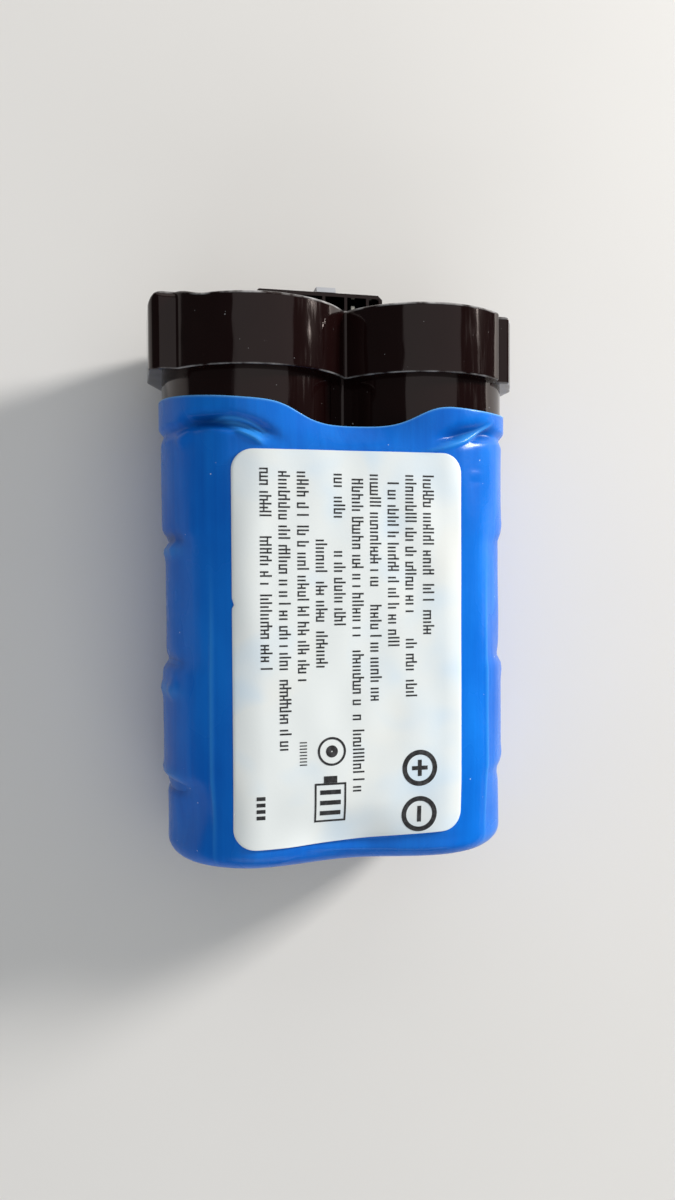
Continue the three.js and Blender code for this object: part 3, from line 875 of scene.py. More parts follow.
def flat_creases() -> list[Ridge]:
    """Give the lines along the film where it was folded flat before it shrank.

    Returns:
        list[Ridge]: a line on each lobe, and a groove beside the right one.
    """
    left = Ridge(-19.3, 19.0, 17.5, 0.24, 0.12, turn=90.0, shade=Shade.LINE)
    right = Ridge(19.9, 21.0, 19.0, 0.24, 0.1, turn=90.0, shade=Shade.LINE)
    return [left, right, Ridge(21.3, 24.0, 20.0, 0.3, -0.03, turn=90.0)]


def end_folds() -> list[Ridge]:
    """Give the shallow folds round the closed end.

    Returns:
        list[Ridge]: a long crease, the hollow above it, a dented corner and a short crease.
    """
    crease = Ridge(4.0, 1.7, 11.0, 0.32, 0.16, turn=-2.5, bend=-0.004)
    hollow = Ridge(7.5, 2.9, 9.0, 0.8, -0.16, turn=-2.0)
    corner = Ridge(-25.0, 6.0, 6.0, 3.4, -0.8, turn=35.0)
    return [crease, hollow, corner, Ridge(-9.5, 1.2, 2.2, 0.25, 0.14, turn=20.0)]


@dataclass
class Sleeve:
    """The film sleeve: two lobes and two flats, shrunk over the brackets and the cap's skirt."""

    half_spacing: float = 12.15
    film: float = 0.3
    sunk_radius: float = 12.05
    band_radius: float = 12.5
    skirt_radius: float = 12.8
    corner: float = 2.6
    lip_inset: float = 4.6
    top: float = 61.2
    top_rise: float = 1.6
    dip_depth: float = 2.6
    dip_centre: float = 0.7
    dip_half_width: float = 8.8
    right_drop: float = 1.1
    end_sag: float = 1.6
    valley_sag: float = 1.9
    bands: tuple[tuple[float, float], ...] = ((12.3, 25.8), (44.8, 56.8))
    band_slope: float = 1.6
    taut_share: float = 0.92
    stretch_from: float = 49.6
    backing: float = 0.7
    least_sink: float = 0.24
    most_sink: float = 1.64
    outer_rows: tuple[tuple[float, float], ...] = (
        (2.6, 1.0), (9.0, 0.35), (53.5, 0.55), (58.6, 0.16), (61.0, 0.14)
    )
    inner_rows: tuple[tuple[float, float], ...] = ((3.0, 1.0), (53.0, 3.2), (60.8, 0.9))
    arc_steps: int = 130
    flat_steps: int = 46
    folds: list[Ridge] = field(default_factory=lambda: [
        *crescent_folds(), *diagonal_folds(), *side_dents(), *flat_creases(), *end_folds()
    ])

    def radius(self, height: np.ndarray, out: np.ndarray) -> np.ndarray:
        """Give the lobes' radius: sunk, pushed out by the brackets, and widest on the cap's skirt.

        On the flanks the film sinks in between the brackets; on the faces it is pulled taut over
        both of them, so there the bands run together.

        Args:
            height: distance along the cells.
            out: share of the outward direction that points along z, from -1 to 1.

        Returns:
            np.ndarray: the outer radius.
        """
        bands = sum(
            smoothstep(low - self.band_slope, low, height)
            * (1 - smoothstep(high, high + self.band_slope, height))
            for low, high in self.bands
        )
        taut = self.taut_share * smoothstep(3.5, 12.0, height)
        face = smoothstep(0.55, 0.97, np.abs(out))
        band = bands * (1 - face) + taut * face
        skirt = smoothstep(58.0, 59.3, height) * (1 - face) + smoothstep(56.0, 61.0, height) * face
        bulge = (self.band_radius - self.sunk_radius) * band * (1 - skirt)
        return self.sunk_radius + bulge + (self.skirt_radius - self.sunk_radius) * skirt

    def cut_end(self, across: np.ndarray) -> np.ndarray:
        """Give the height of the cut end: a parabola that rises to the sides, less a flat-topped dip.

        The right side was cut a little lower, past the crest of its lobe.

        Args:
            across: x of each column.

        Returns:
            np.ndarray: y of the cut end.
        """
        reach = across / (self.half_spacing + self.skirt_radius)
        dip = self.dip_depth * np.exp(-(((across - self.dip_centre) / self.dip_half_width) ** 4))
        drop = self.right_drop * smoothstep(9.0, 23.0, across)
        return self.top + self.top_rise * reach**2 - dip - drop

    def follow_cut(self, across: np.ndarray, height: np.ndarray) -> np.ndarray:
        """Stretch the upper heights so that the topmost one lies on the cut end.

        Args:
            across: x of each column.
            height: heights up the film, as if it were cut straight.

        Returns:
            np.ndarray: the heights on the film as it is cut.
        """
        share = (self.cut_end(across) - self.stretch_from) / (self.top - self.stretch_from)
        return np.minimum(height, self.stretch_from) + np.maximum(height - self.stretch_from, 0.0) * share

    def sag(self, across: np.ndarray, height: np.ndarray) -> np.ndarray:
        """Give how far the film hangs in between the lobes: a raised cosine from lobe to lobe.

        Args:
            across: x of each point.
            height: y of each point.

        Returns:
            np.ndarray: the sag, which is there only at the closed end and at the cut end.
        """
        valley = (1 + np.cos(np.pi * np.clip(across / self.half_spacing, -1, 1))) / 2
        closed = self.end_sag * (1 - smoothstep(1.0, 9.0, height))
        opened = self.valley_sag * smoothstep(55.3, 60.0, height)
        return valley * (closed + opened)

    def ripple(self, around: np.ndarray, height: np.ndarray) -> np.ndarray:
        """Give the film's slow unevenness: a dozen seeded waves that close on themselves round it.

        Args:
            around: distance round the film of each point.
            height: distance along the cells of each point.

        Returns:
            np.ndarray: a sum of products of two sines, one round the film and one along it.
        """
        rng = np.random.default_rng(21700)
        girth = 4 * self.half_spacing + 2 * np.pi * self.band_radius
        total = np.zeros(np.broadcast(around, height).shape)
        for _ in range(12):
            turns, length = rng.integers(6, 20), rng.uniform(12.0, 44.0)
            phase = rng.uniform(0.0, 2 * np.pi, 2)
            wave = np.sin(2 * np.pi * turns * around / girth + phase[0])
            total = total + 0.02 * wave * np.sin(2 * np.pi * height / length + phase[1])
        return total

    def lift(self, around: np.ndarray, height: np.ndarray) -> np.ndarray:
        """Add up the folds and the slow unevenness, fading at the very rim of the closed end.

        Near the cut end, the film sinks far only where it spans from the upper bracket to the
        cap's skirt.

        Args:
            around: distance round the film of each point.
            height: distance along the cells of each point.

        Returns:
            np.ndarray: how far the film stands out from its plain radius.
        """
        total = self.ripple(around, height)
        for fold in self.folds:
            total = total + fold.lift(around, height)
        free = smoothstep(56.8, 57.9, height) * (1 - smoothstep(58.9, 59.8, height))
        deepest = -self.least_sink - (self.most_sink - self.least_sink) * free
        total = np.where(height > self.stretch_from, np.maximum(total, deepest), total)
        return total * smoothstep(-0.2, 1.4, height)

    def flat_height(self, across: np.ndarray, height: np.ndarray) -> np.ndarray:
        """Give the film's height on the label side.

        Args:
            across: x of each point.
            height: y of each point.

        Returns:
            np.ndarray: z of the outer face, on the flat or on the lobes beside it.
        """
        past = np.clip(np.abs(across) - self.half_spacing, 0, None)
        radius = self.radius(height, np.sqrt(1 - np.clip(past / self.band_radius, 0, 1) ** 2))
        on_flat = np.minimum(np.abs(across), self.half_spacing)
        around = np.sign(across) * (on_flat + radius * np.arcsin(past / radius))
        radius = radius + self.lift(around, height)
        return np.where(past > 0, np.sqrt(radius**2 - past**2), radius - self.sag(across, height))

    def loop(self) -> tuple[np.ndarray, ...]:
        """Give one loop of the sleeve: right lobe, label side, left lobe, back.

        Returns:
            tuple[np.ndarray, ...]: for each column, the x of its centre, the x and z of its outward
            direction, and its distance round the film from the middle of the label side.
        """
        angle = np.linspace(-np.pi / 2, np.pi / 2, self.arc_steps, endpoint=False)
        flat = np.linspace(self.half_spacing, -self.half_spacing, self.flat_steps, endpoint=False)
        flank = self.half_spacing + self.band_radius * np.pi / 2
        centre = np.concatenate([np.full(angle.size, self.half_spacing), flat])
        along = np.concatenate([np.cos(angle), np.zeros(flat.size)])
        out = np.concatenate([np.sin(angle), np.ones(flat.size)])
        around = np.concatenate([flank - self.band_radius * angle, flat])
        beyond_middle = flat - 2 * flank * np.sign(flat - 1e-9)
        back = np.concatenate([-flank - self.band_radius * angle, beyond_middle])
        return (
            np.concatenate([centre, -centre]),
            np.concatenate([along, -along]),
            np.concatenate([out, -out]),
            np.concatenate([around, back]),
        )

    def profile(self, depth: float, heights: np.ndarray, steps: int) -> np.ndarray:
        """Give the line up one face of the film: its turned-in lip, a quarter round and the wall.

        Args:
            depth: distance of the face in from the film's outer face.
            heights: the wall's rows.
            steps: how many rows the quarter round has.

        Returns:
            np.ndarray: an R by 2 array of inset and height.
        """
        angle = np.linspace(0.0, np.pi / 2, steps)
        round_radius = self.corner - depth
        lip = np.linspace(self.lip_inset, self.corner, 5)[:-1]
        wall = np.full(heights.size, depth)
        inset = np.concatenate([lip, self.corner - round_radius * np.sin(angle), wall])
        lip_height = np.full(lip.size, depth)
        height = np.concatenate([lip_height, self.corner - round_radius * np.cos(angle), heights])
        return np.stack([inset, height], axis=-1)

    def surface(self, profile: np.ndarray) -> np.ndarray:
        """Carry a profile round the loop.

        A point lies at its column's centre plus the radius at its height, less its inset, along
        the column's outward direction. Near the cut end the rows are stretched to follow it.

        Args:
            profile: an R by 2 array of inset and height.

        Returns:
            np.ndarray: an R by C by 3 array of points.
        """
        centre, along, out, around = self.loop()
        inset, height = profile[:, :1], profile[:, 1:]
        height = self.follow_cut(centre + along * self.skirt_radius, height)
        radius = self.radius(height, out) - inset + self.lift(around, height)
        x = centre + along * radius
        z = out * (radius - np.where(along == 0, self.sag(centre, height), 0.0))
        return np.stack([x, height + 0 * x, z], axis=-1)

    def shaded(self, shade: Shade) -> list[Ridge]:
        """Pick the folds with one shade."""
        return [fold for fold in self.folds if fold.shade is shade]

    def store_masks(self, piece: bpy.types.Object, profile: np.ndarray) -> None:
        """Keep where the film is cut, creased and sunk, for its material's painted highlight on the cut
        edge, paler creases with painted highlight on fold crests, and painted shade where it sinks.

        Args:
            piece: the sleeve.
            profile: an R by 2 array of inset and height.
        """
        centre, along, _, around = self.loop()
        # Painted highlight along the cut edge.
        edge = np.exp(-(np.clip(self.top - profile[:, 1], 0, None) / 0.16) ** 2)
        store_mask(piece, "cut_edge_highlight", np.repeat(edge * 0.85, centre.size))
        height = self.follow_cut(centre + along * self.skirt_radius, profile[:, 1:])
        # Crease lines are paler from stress; fold crests add a painted highlight.
        lines = sum(fold.lift(around, height) / fold.rise for fold in self.shaded(Shade.LINE))
        crests = sum(fold.lift(around, height) for fold in self.shaded(Shade.PALE_AND_HIGHLIGHT))
        store_mask(piece, "crease", np.clip(0.6 * lines + 1.3 * crests, 0.0, 0.75))
        # Painted shade in the sunk folds, less on the crests.
        sunk = sum(-fold.lift(around, height) for fold in self.shaded(Shade.PAINTED_SHADE))
        store_mask(piece, "hollow", np.clip(0.75 * sunk - 0.8 * crests, 0.0, 0.75))

    def build(self) -> bpy.types.Object:
        """Build the sleeve as one closed skin and dress it.

        The inner face has a backing, out of sight, behind the folds by the cut end.

        Returns:
            bpy.types.Object: the piece.
        """
        outer = self.profile(0.0, graded(self.outer_rows)[1:], 12)
        rim = [[0.0, self.top - 0.06], [0.07, self.top], [0.23, self.top], [0.3, self.top - 0.08]]
        inner = self.profile(self.film, graded(self.inner_rows), 5)[::-1]
        height = inner[:, 1]
        inner[:, 0] += self.backing * smoothstep(50.0, 54.0, height) * (1 - smoothstep(60.0, 60.8, height))
        profile = np.concatenate([outer, rim, inner])
        grid = self.surface(profile)
        rows, columns = grid.shape[:2]
        piece = new_mesh("sleeve", grid.reshape(-1, 3), ring_quads(rows, columns, True))
        self.store_masks(piece, profile)
        hand_over(piece, Slot.SLEEVE, ShrinkFilm().material(), "shrink_sleeve")
        return piece


# ------------------------------------------------------------------------------ label and its print


Numbers = np.ndarray | list[float] | float


@dataclass
class Label:
    """The label: a thin sheet with round corners that follows the film."""

    sleeve: Sleeve
    left: float = -16.3
    right: float = 14.75
    low: float = 3.1
    high: float = 55.15
    corner: float = 2.7
    thickness: float = 0.16
    lift: float = 0.14
    skew: float = 0.9
    columns: int = 110

    def edges(self, height: np.ndarray) -> tuple[np.ndarray, np.ndarray]:
        """Give the left and right edges at each height, with round corners and one small nick.

        Args:
            height: y of each row.

        Returns:
            tuple[np.ndarray, np.ndarray]: x of the left edge and of the right edge.
        """
        below = self.low + self.corner - height
        above = height - self.high + self.corner
        past = np.clip(np.maximum(below, above), 0, self.corner)
        inset = self.corner - np.sqrt(self.corner**2 - past**2)
        nick = 0.28 * np.exp(-(((height - 35.2) / 0.35) ** 2))
        return self.left + inset + nick, self.right - inset

    def face(self, across: np.ndarray, height: np.ndarray) -> np.ndarray:
        """Give the height of the label's printed face."""
        return self.sleeve.flat_height(across, height) + self.lift + self.thickness

    def build(self) -> bpy.types.Object:
        """Build the label as a closed sheet whose edges are rounded over.

        Each row runs over the printed face from left to right and back underneath. The bottom edge
        is skewed: it rises to the right with the 1.5th power of the share of the width.

        Returns:
            bpy.types.Object: the piece.
        """
        turn = self.low + self.corner * (1 - np.cos(np.linspace(0.0, np.pi / 2, 12)))
        heights = np.concatenate([turn, np.arange(6.1, 52.3, 0.42), (self.low + self.high - turn)[::-1]])
        left, right = self.edges(heights)
        border = np.array([0.0, 0.0012, 0.004])
        share = np.concatenate([border, np.linspace(0.012, 0.988, self.columns), 1.0 - border[::-1]])
        x = left[:, None] + (right - left)[:, None] * share
        from_top = (self.high - heights[:, None]) / (self.high - self.low)
        y = heights[:, None] + self.skew * share**1.5 * from_top
        film = self.sleeve.flat_height(x, y)
        droop = self.thickness * np.array([0.75, 0.3, 0.06, *[0.0] * self.columns, 0.06, 0.3, 0.75])
        top = np.stack([x, y, film + self.lift + self.thickness - droop], axis=-1)
        bottom = np.stack([x, y, film + 0.03], axis=-1)[:, ::-1]
        grid = np.concatenate([top, bottom], axis=1)
        rows, columns = grid.shape[:2]
        quads = [ring_quads(rows, columns, False), fan_quads(0, columns)]
        quads.append(fan_quads((rows - 1) * columns, columns)[:, ::-1])
        piece = new_mesh("label_sheet", grid.reshape(-1, 3), np.concatenate(quads))
        hand_over(piece, Slot.LABEL, LabelFilm().material(), "label")
        return piece


@dataclass
class LabelPrint:
    """Print that stands for text: ten lines of plain strokes, and six plain marks.

    A line runs towards the closed end, and its strokes stand along x. Nothing spells anything.
    """

    label: Label
    first_line: float = 10.0
    line_pitch: float = 2.44
    stroke: float = 0.22
    pitch: float = 0.5
    short: float = 1.1
    tall: float = 1.55
    ink: float = 0.025
    runs: tuple[tuple[tuple[float, float], ...], ...] = (
        ((52.0, 30.2),),
        ((52.0, 33.4), (30.2, 22.0)),
        ((52.0, 28.6),),
        ((52.0, 37.0), (34.8, 21.6)),
        ((51.4, 30.4), (28.8, 9.6)),
        ((52.0, 45.6), (43.4, 31.2)),
        ((43.4, 26.2),),
        ((52.2, 24.4),),
        ((52.2, 15.4),),
        ((52.6, 45.8), (43.8, 26.0)),
    )
    parts: list[tuple[np.ndarray, np.ndarray]] = field(default_factory=list)

    def add(self, outline: np.ndarray, quads: np.ndarray) -> None:
        """Keep a part of the print, with its points on the face and again just above it.

        Args:
            outline: an N by 2 array of x and y.
            quads: faces over the 2 N points, the lower ones first.
        """
        z = self.label.face(outline[:, 0], outline[:, 1])
        low = np.column_stack([outline, z - 0.02])
        high = np.column_stack([outline, z + self.ink])
        self.parts.append((np.concatenate([low, high]), quads))

    def add_bars(self, x: Numbers, y: Numbers, width: Numbers, height: Numbers) -> None:
        """Add upright bars, all at once; a large one is laid as cells that follow the label.

        Args:
            x: the middle of each bar across the label.
            y: the middle of each bar along the label.
            width: each bar's size along x.
            height: each bar's size along y.
        """
        x, y, width, height = np.broadcast_arrays(np.atleast_1d(x), y, width, height)
        if max(width.max(), height.max()) > 1.9:
            cells = [self.cells(*bar) for bar in zip(x, y, width, height)]
            x, y, width, height = (np.concatenate(values) for values in zip(*cells))
        signs = np.array([[-1, -1], [1, -1], [1, 1], [-1, 1]]) / 2
        outline = np.stack([x, y], -1)[:, None] + signs * np.stack([width, height], -1)[:, None]
        count = 4 * x.size
        base = 4 * np.arange(x.size)[:, None]
        step = np.arange(4)
        sides = np.stack([step, (step + 1) % 4, count + (step + 1) % 4, count + step], -1)
        quads = [base + np.array([3, 2, 1, 0]), base + count + step]
        quads += [base + side for side in sides]
        self.add(outline.reshape(-1, 2), np.concatenate(quads))

    @staticmethod
    def cells(x: float, y: float, width: float, height: float) -> tuple[np.ndarray, ...]:
        """Split a bar into cells of about half a millimetre.

        Args:
            x: the bar's middle across the label.
            y: its middle along the label.
            width: its size along x.
            height: its size along y.

        Returns:
            tuple[np.ndarray, ...]: the cells' middles and sizes.
        """
        across, along = math.ceil(width / 0.55), math.ceil(height / 0.55)
        i, j = np.meshgrid(np.arange(across), np.arange(along))
        middle_x = x + width * ((i.ravel() + 0.5) / across - 0.5)
        middle_y = y + height * ((j.ravel() + 0.5) / along - 0.5)
        return middle_x, middle_y, np.full(i.size, width / across), np.full(i.size, height / along)

    def add_ring(self, x: float, y: float, outer: float, inner: float, steps: int = 48) -> None:
        """Add a flat ring.

        Args:
            x: its centre across the label.
            y: its centre along the label.
            outer: its outer radius.
            inner: its inner radius.
            steps: how many stretches it has.
        """
        angle = np.linspace(0.0, 2 * np.pi, steps, endpoint=False)
        circle = np.stack([np.cos(angle), np.sin(angle)], -1)
        outline = np.concatenate([circle * outer, circle * inner]) + np.array([x, y])
        low_outer = np.arange(steps)
        low_inner = low_outer + steps
        high_outer = low_outer + 2 * steps
        high_inner = low_outer + 3 * steps
        circles = [low_outer, high_outer, high_inner, low_inner]
        pairs = zip(circles, [*circles[1:], low_outer])
        quads = [np.stack([np.roll(a, -1), np.roll(b, -1), b, a], -1) for a, b in pairs]
        self.add(outline, np.concatenate(quads))

    def add_lines(self) -> None:
        """Add the ten lines: seeded words of short and tall strokes, some joined by a dash."""
        rng = np.random.default_rng(7)
        for index, runs in enumerate(self.runs):
            x = self.first_line - index * self.line_pitch
            for start, end in runs:
                count = int((start - end) / self.pitch)
                y = start - self.pitch * np.arange(count)
                gap = np.zeros(count, bool)
                spaces = np.cumsum(rng.integers(9, 20, 12))
                gap[spaces[spaces < count]] = True
                height = np.where(rng.random(count) < 0.35, self.tall, self.short)
                kept = ~gap & (rng.random(count) < 0.88)
                height = height[kept]
                self.add_bars(x - (self.tall - height) / 2, y[kept], height, self.stroke)
                dash = kept & np.roll(kept, -1) & (rng.random(count) < 0.42)
                dash[-1:] = False
                level = x - self.tall / 2 + rng.choice([0.1, self.short / 2, self.short - 0.1], dash.sum())
                self.add_bars(level, y[dash] - self.pitch / 2, 0.17, self.pitch)

    def add_marks(self) -> None:
        """Add the marks: rings round a plus, a bar and a dot, a plain cell, thin strokes and blocks."""
        plus, minus, dot, cell = (8.7, 12.9), (8.7, 6.6), (-3.4, 15.7), (-3.6, 8.9)
        bold = (2.45, 1.8)
        self.add_ring(*plus, *bold)
        self.add_bars(*plus, [2.2, 0.55], [0.55, 2.2])
        self.add_ring(*minus, *bold)
        self.add_bars(*minus, 0.55, 2.2)
        self.add_ring(*dot, 1.9, 1.6)
        self.add_ring(*dot, 0.8, 0.1)
        x, y = cell
        half_width, half_length, line = 2.0, 2.5, 0.26
        self.add_bars(
            x + half_width * np.array([1, -1, 0, 0]),
            y + half_length * np.array([0, 0, 1, -1]),
            [line, line, 2 * half_width + line, 2 * half_width + line],
            [2 * half_length, 2 * half_length, line, line],
        )
        self.add_bars(x, y + 3.1, 1.8, 0.9)
        self.add_bars(x, [y - 1.4, y, y + 1.4], 2.8, 0.6)
        self.add_bars(-7.2, 17.0 - 0.42 * np.arange(8), 0.95, 0.15)
        self.add_bars(-12.8, 9.9 - 0.85 * np.arange(4), 1.15, 0.5)

    def build(self) -> bpy.types.Object:
        """Build every stroke and mark as one piece of print.

        Returns:
            bpy.types.Object: the piece.
        """
        self.add_lines()
        self.add_marks()
        sizes = [len(points) for points, _ in self.parts]
        starts = np.concatenate([[0], np.cumsum(sizes)[:-1]])
        points = np.concatenate([points for points, _ in self.parts])
        quads = np.concatenate([quads + start for (_, quads), start in zip(self.parts, starts)])
        piece = new_mesh("label_print", points, quads, smooth=False)
        hand_over(piece, Slot.LABEL, Ink().material())
        return piece


# ------------------------------------------------------------------------------ end cap


@dataclass
class EndCap:
    """The moulded cap: a two-lobed lip with guide ribs, a skirt inside the film and a terminal window."""

    lip_radius: float = 13.94
    lip_half_spacing: float = 12.0
    lip_from: float = 65.7
    end: float = 75.0
    rim_round: float = 0.45
    edge_round: float = 0.22
    skirt_radius: float = 12.35
    skirt_half_spacing: float = 12.15
    skirt_from: float = 59.8
    tongue_from: float = 57.6
    valley_height: float = 5.0
    skirt_wall: float = 1.3
    chamber_from: float = 67.2
    chamber_inset: float = 1.64
    chamber_half_width: float = 24.3
    ceiling: float = 73.8
    rib_top: float = 8.8
    left_reach: float = 14.45
    left_round: float = 1.85
    left_root: float = -0.406
    left_root_distance: float = 13.93
    left_root_normal: tuple[float, float] = (0.9244, -0.3813)
    rib_chamfer: float = 0.8
    rib_overrun: float = 0.8
    overrun_angles: tuple[float, float, float, float] = (-0.4, -0.3, 0.66, 1.0)
    valley_floor: float = 0.16
    right_step: float = 9.0
    right_slope_distance: float = 13.84
    right_slope_normal: tuple[float, float] = (0.910, 0.414)
    lead_in: float = 1.1
    window: tuple[float, float, float, float] = (-12.3, 6.1, -5.2, 5.0)
    lead_rows: tuple[float, float, float] = (0.42, 1.5, 0.12)
    blur: float = 0.008
    steps: int = 430

    def angles(self) -> np.ndarray:
        """Give the columns' directions about a lobe's centre, from the lower valley to the upper one."""
        return np.linspace(-self.half_turn(), self.half_turn(), self.steps, endpoint=False)

    def half_turn(self) -> float:
        """Give the angle from a lobe's outermost point to the valley between the lobes."""
        return math.pi - math.acos(self.lip_half_spacing / self.lip_radius)

    def side_reach(self, full: float, angle: np.ndarray, height: np.ndarray) -> np.ndarray:
        """Give the distance to a lobe's outer side plane, cut back near the end by the lead-in."""
        cut = np.clip(height - (self.end - self.lead_in), 0, None)
        return (full - cut) / np.clip(np.cos(angle), 1e-3, None)

    def left_lobe(self, angle: np.ndarray, height: np.ndarray) -> np.ndarray:
        """Give the left lobe's radius by direction.

        It is the lip's circle or, where it reaches further, a rib with a flat top, a rounded upper
        corner, a flat side and a sloping root; directions are measured from -x.

        Args:
            angle: direction of each column.
            height: distance along the cells.

        Returns:
            np.ndarray: radius from the lobe's centre.
        """
        sine, cosine = np.sin(angle), np.cos(angle)
        rib_top = self.rib_top - 0.6 * np.clip(height - (self.end - self.rib_chamfer), 0, None)
        flat_top = np.where(sine > 0, rib_top / np.clip(sine, 1e-3, None), FAR_OUT)
        side = self.side_reach(self.left_reach, angle, height)
        facing = self.left_root_normal[0] * cosine + self.left_root_normal[1] * sine
        root = np.where(cosine > 0, self.left_root_distance / np.clip(facing, 0.05, None), 0.0)
        corner = np.array([self.left_reach - self.left_round, self.rib_top - self.left_round])
        shift = corner[0] * cosine + corner[1] * sine
        inside = np.clip(shift**2 - corner @ corner + self.left_round**2, 0, None)
        low = math.atan2(corner[1], self.left_reach)
        high = math.atan2(self.rib_top, corner[0])
        bend = np.where((angle > low) & (angle < high), shift + np.sqrt(inside), FAR_OUT)
        rib = np.minimum.reduce([flat_top + 0 * side, side, root + 0 * side, bend + 0 * side])
        rib = np.where((cosine > 0) & (angle > self.left_root), rib, 0.0)
        return np.maximum(self.lip_radius, rib)

    def right_lobe(self, angle: np.ndarray, height: np.ndarray) -> np.ndarray:
        """Give the right lobe's radius by direction.

        The lip's circle is cut down to the rib's top beyond a step, and the rib's outer face
        slopes down to the circle; directions are measured from +x.

        Args:
            angle: direction of each column.
            height: distance along the cells.

        Returns:
            np.ndarray: radius from the lobe's centre.
        """
        sine = np.clip(np.sin(angle), 1e-3, None)
        cosine = np.clip(np.cos(angle), 1e-3, None)
        flat_top = self.rib_top / sine
        step = self.right_step / cosine
        facing = self.right_slope_normal[0] * cosine + self.right_slope_normal[1] * sine
        slope = self.right_slope_distance / np.clip(facing, 0.05, None)
        corner = math.atan2(self.rib_top, self.right_step)
        rib = np.maximum(np.minimum(self.lip_radius, flat_top), np.minimum(flat_top, slope))
        upper = np.where(angle < corner, rib, np.minimum(self.lip_radius, step))
        shaped = np.where((angle > 0.1) & (angle < 1.0), upper, self.lip_radius)
        side = np.where(np.abs(angle) < 1.2, self.side_reach(self.lip_radius, angle, height), FAR_OUT)
        return np.minimum(shaped + 0 * side, side)

    def lobe_points(
        self,
        radius_of: Callable[[np.ndarray, np.ndarray], np.ndarray],
        height: np.ndarray,
        inset: np.ndarray,
        side: int,
    ) -> np.ndarray:
        """Carry one lobe's outline up the rows.

        The outline is softened by a weighted mean over five directions close together. By the
        valley it fades to the plain circle, and the valley's point is cut off flat. The left rib
        runs on a little past the end face.

        Args:
            radius_of: the lobe's radius as a function of direction and height.
            height: R by 1 distances along the cells.
            inset: R by 1 distances inwards from the outline.
            side: 1 for the right lobe and -1 for the left one.

        Returns:
            np.ndarray: R by C by 3 points, from valley to valley: upwards on the right lobe and
            downwards on the left one.
        """
        angle = side * self.angles()[None, :]
        spread = np.array([-2, -1, 0, 1, 2]) * self.blur
        weight = np.array([1, 2, 3, 2, 1]) / 9
        radius = sum(w * radius_of(angle + s, height) for s, w in zip(spread, weight)) - inset
        fade = smoothstep(0.0, 0.05, self.half_turn() - np.abs(angle))
        radius = radius * fade + (self.lip_radius - inset) * (1 - fade)
        x = np.maximum(self.lip_half_spacing + radius * np.cos(angle), 0.0)
        z = radius * np.sin(angle)
        floor = np.sqrt((self.lip_radius - inset) ** 2 - (self.lip_half_spacing - self.valley_floor) ** 2)
        z = np.where(x < self.valley_floor, np.sign(z) * floor, z)
        rib_from, rib_full, rib_fading, rib_to = self.overrun_angles
        on_rib = smoothstep(rib_from, rib_full, angle) * (1 - smoothstep(rib_fading, rib_to, angle))
        overrun = self.rib_overrun * on_rib * smoothstep(self.end - 1.6, self.end - 0.6, height)
        y = height + (overrun if side < 0 else 0 * x)
        return np.stack([side * x, y, z], axis=-1)

    def lip(self, height: np.ndarray, inset: np.ndarray) -> np.ndarray:
        """Give rows of the whole lip: the right lobe upwards, then the left lobe downwards.

        Args:
            height: R by 1 distances along the cells.
            inset: R by 1 distances inwards from the outline.

        Returns:
            np.ndarray: R by C by 3 points.
        """
        right = self.lobe_points(self.right_lobe, height, inset, 1)
        left = self.lobe_points(self.left_lobe, height, inset, -1)
        return np.concatenate([right, left], axis=1)

    def skirt(self, height: np.ndarray, inset: np.ndarray) -> np.ndarray:
        """Give rows of the skirt: two circles, with the valley between them filled to a square V.

        A side of the V is the line z = valley height + distance from the middle plane.

        Args:
            height: R by 1 distances along the cells, for columns away from the tongue.
            inset: R by 1 distances inwards.

        Returns:
            np.ndarray: R by C by 3 points on the same columns as the lip's.
        """
        half = self.skirt_half_spacing
        widest = math.pi - math.atan2(self.valley_height, half)
        angle = self.angles() / abs(self.angles()[0]) * widest
        filled = (half + self.valley_height) / np.clip(np.abs(np.sin(angle)) - np.cos(angle), 0.2, None)
        radius = np.where(np.cos(angle) < -0.8, np.maximum(self.skirt_radius, filled), self.skirt_radius)
        radius = radius[None, :] - inset
        x = np.maximum(half + radius * np.cos(angle), 0.0)
        z = radius * np.sin(angle)
        z = np.sign(z) * np.where(x < 0.2, self.valley_height + 0.2 - inset, np.abs(z))
        right = np.stack([x, height + 0 * x, z], axis=-1)
        left = np.stack([-x, height + 0 * x, -z], axis=-1)
        return np.concatenate([right, left], axis=1)

    def window_rows(self, heights: list[float]) -> np.ndarray:
        """Give rows round the terminal window, on the lip's columns.

        A column meets the window where the ray from the window's centre to the lip's outline
        leaves the rectangle.

        Args:
            heights: the rows' distances along the cells.

        Returns:
            np.ndarray: R by C by 3 points.
        """
        left, right, low, high = self.window
        centre = np.array([(left + right) / 2, (low + high) / 2])
        half = np.array([(right - left) / 2, (high - low) / 2])
        outline = self.lip(np.array([[self.end]]), np.array([[0.4]]))[0][:, [0, 2]] - centre
        share = 1 / np.maximum(np.abs(outline[:, 0]) / half[0], np.abs(outline[:, 1]) / half[1])
        spot = outline * share[:, None] + centre
        rows = [np.column_stack([spot[:, 0], np.full(len(spot), y), spot[:, 1]]) for y in heights]
        return np.stack(rows)

    def tongue(self, rows: np.ndarray) -> np.ndarray:
        """Draw the skirt's lower rows down near the valley, where a tongue reaches under the film.

        Args:
            rows: R by C by 3 points of the skirt, which are changed in place.

        Returns:
            np.ndarray: the same points.
        """
        drop = (self.skirt_from - self.tongue_from) * (1 - smoothstep(7.0, 8.6, np.abs(rows[..., 0])))
        share = 1 - smoothstep(self.skirt_from, self.lip_from, rows[..., 1])
        rows[..., 1] -= drop * share
        return rows

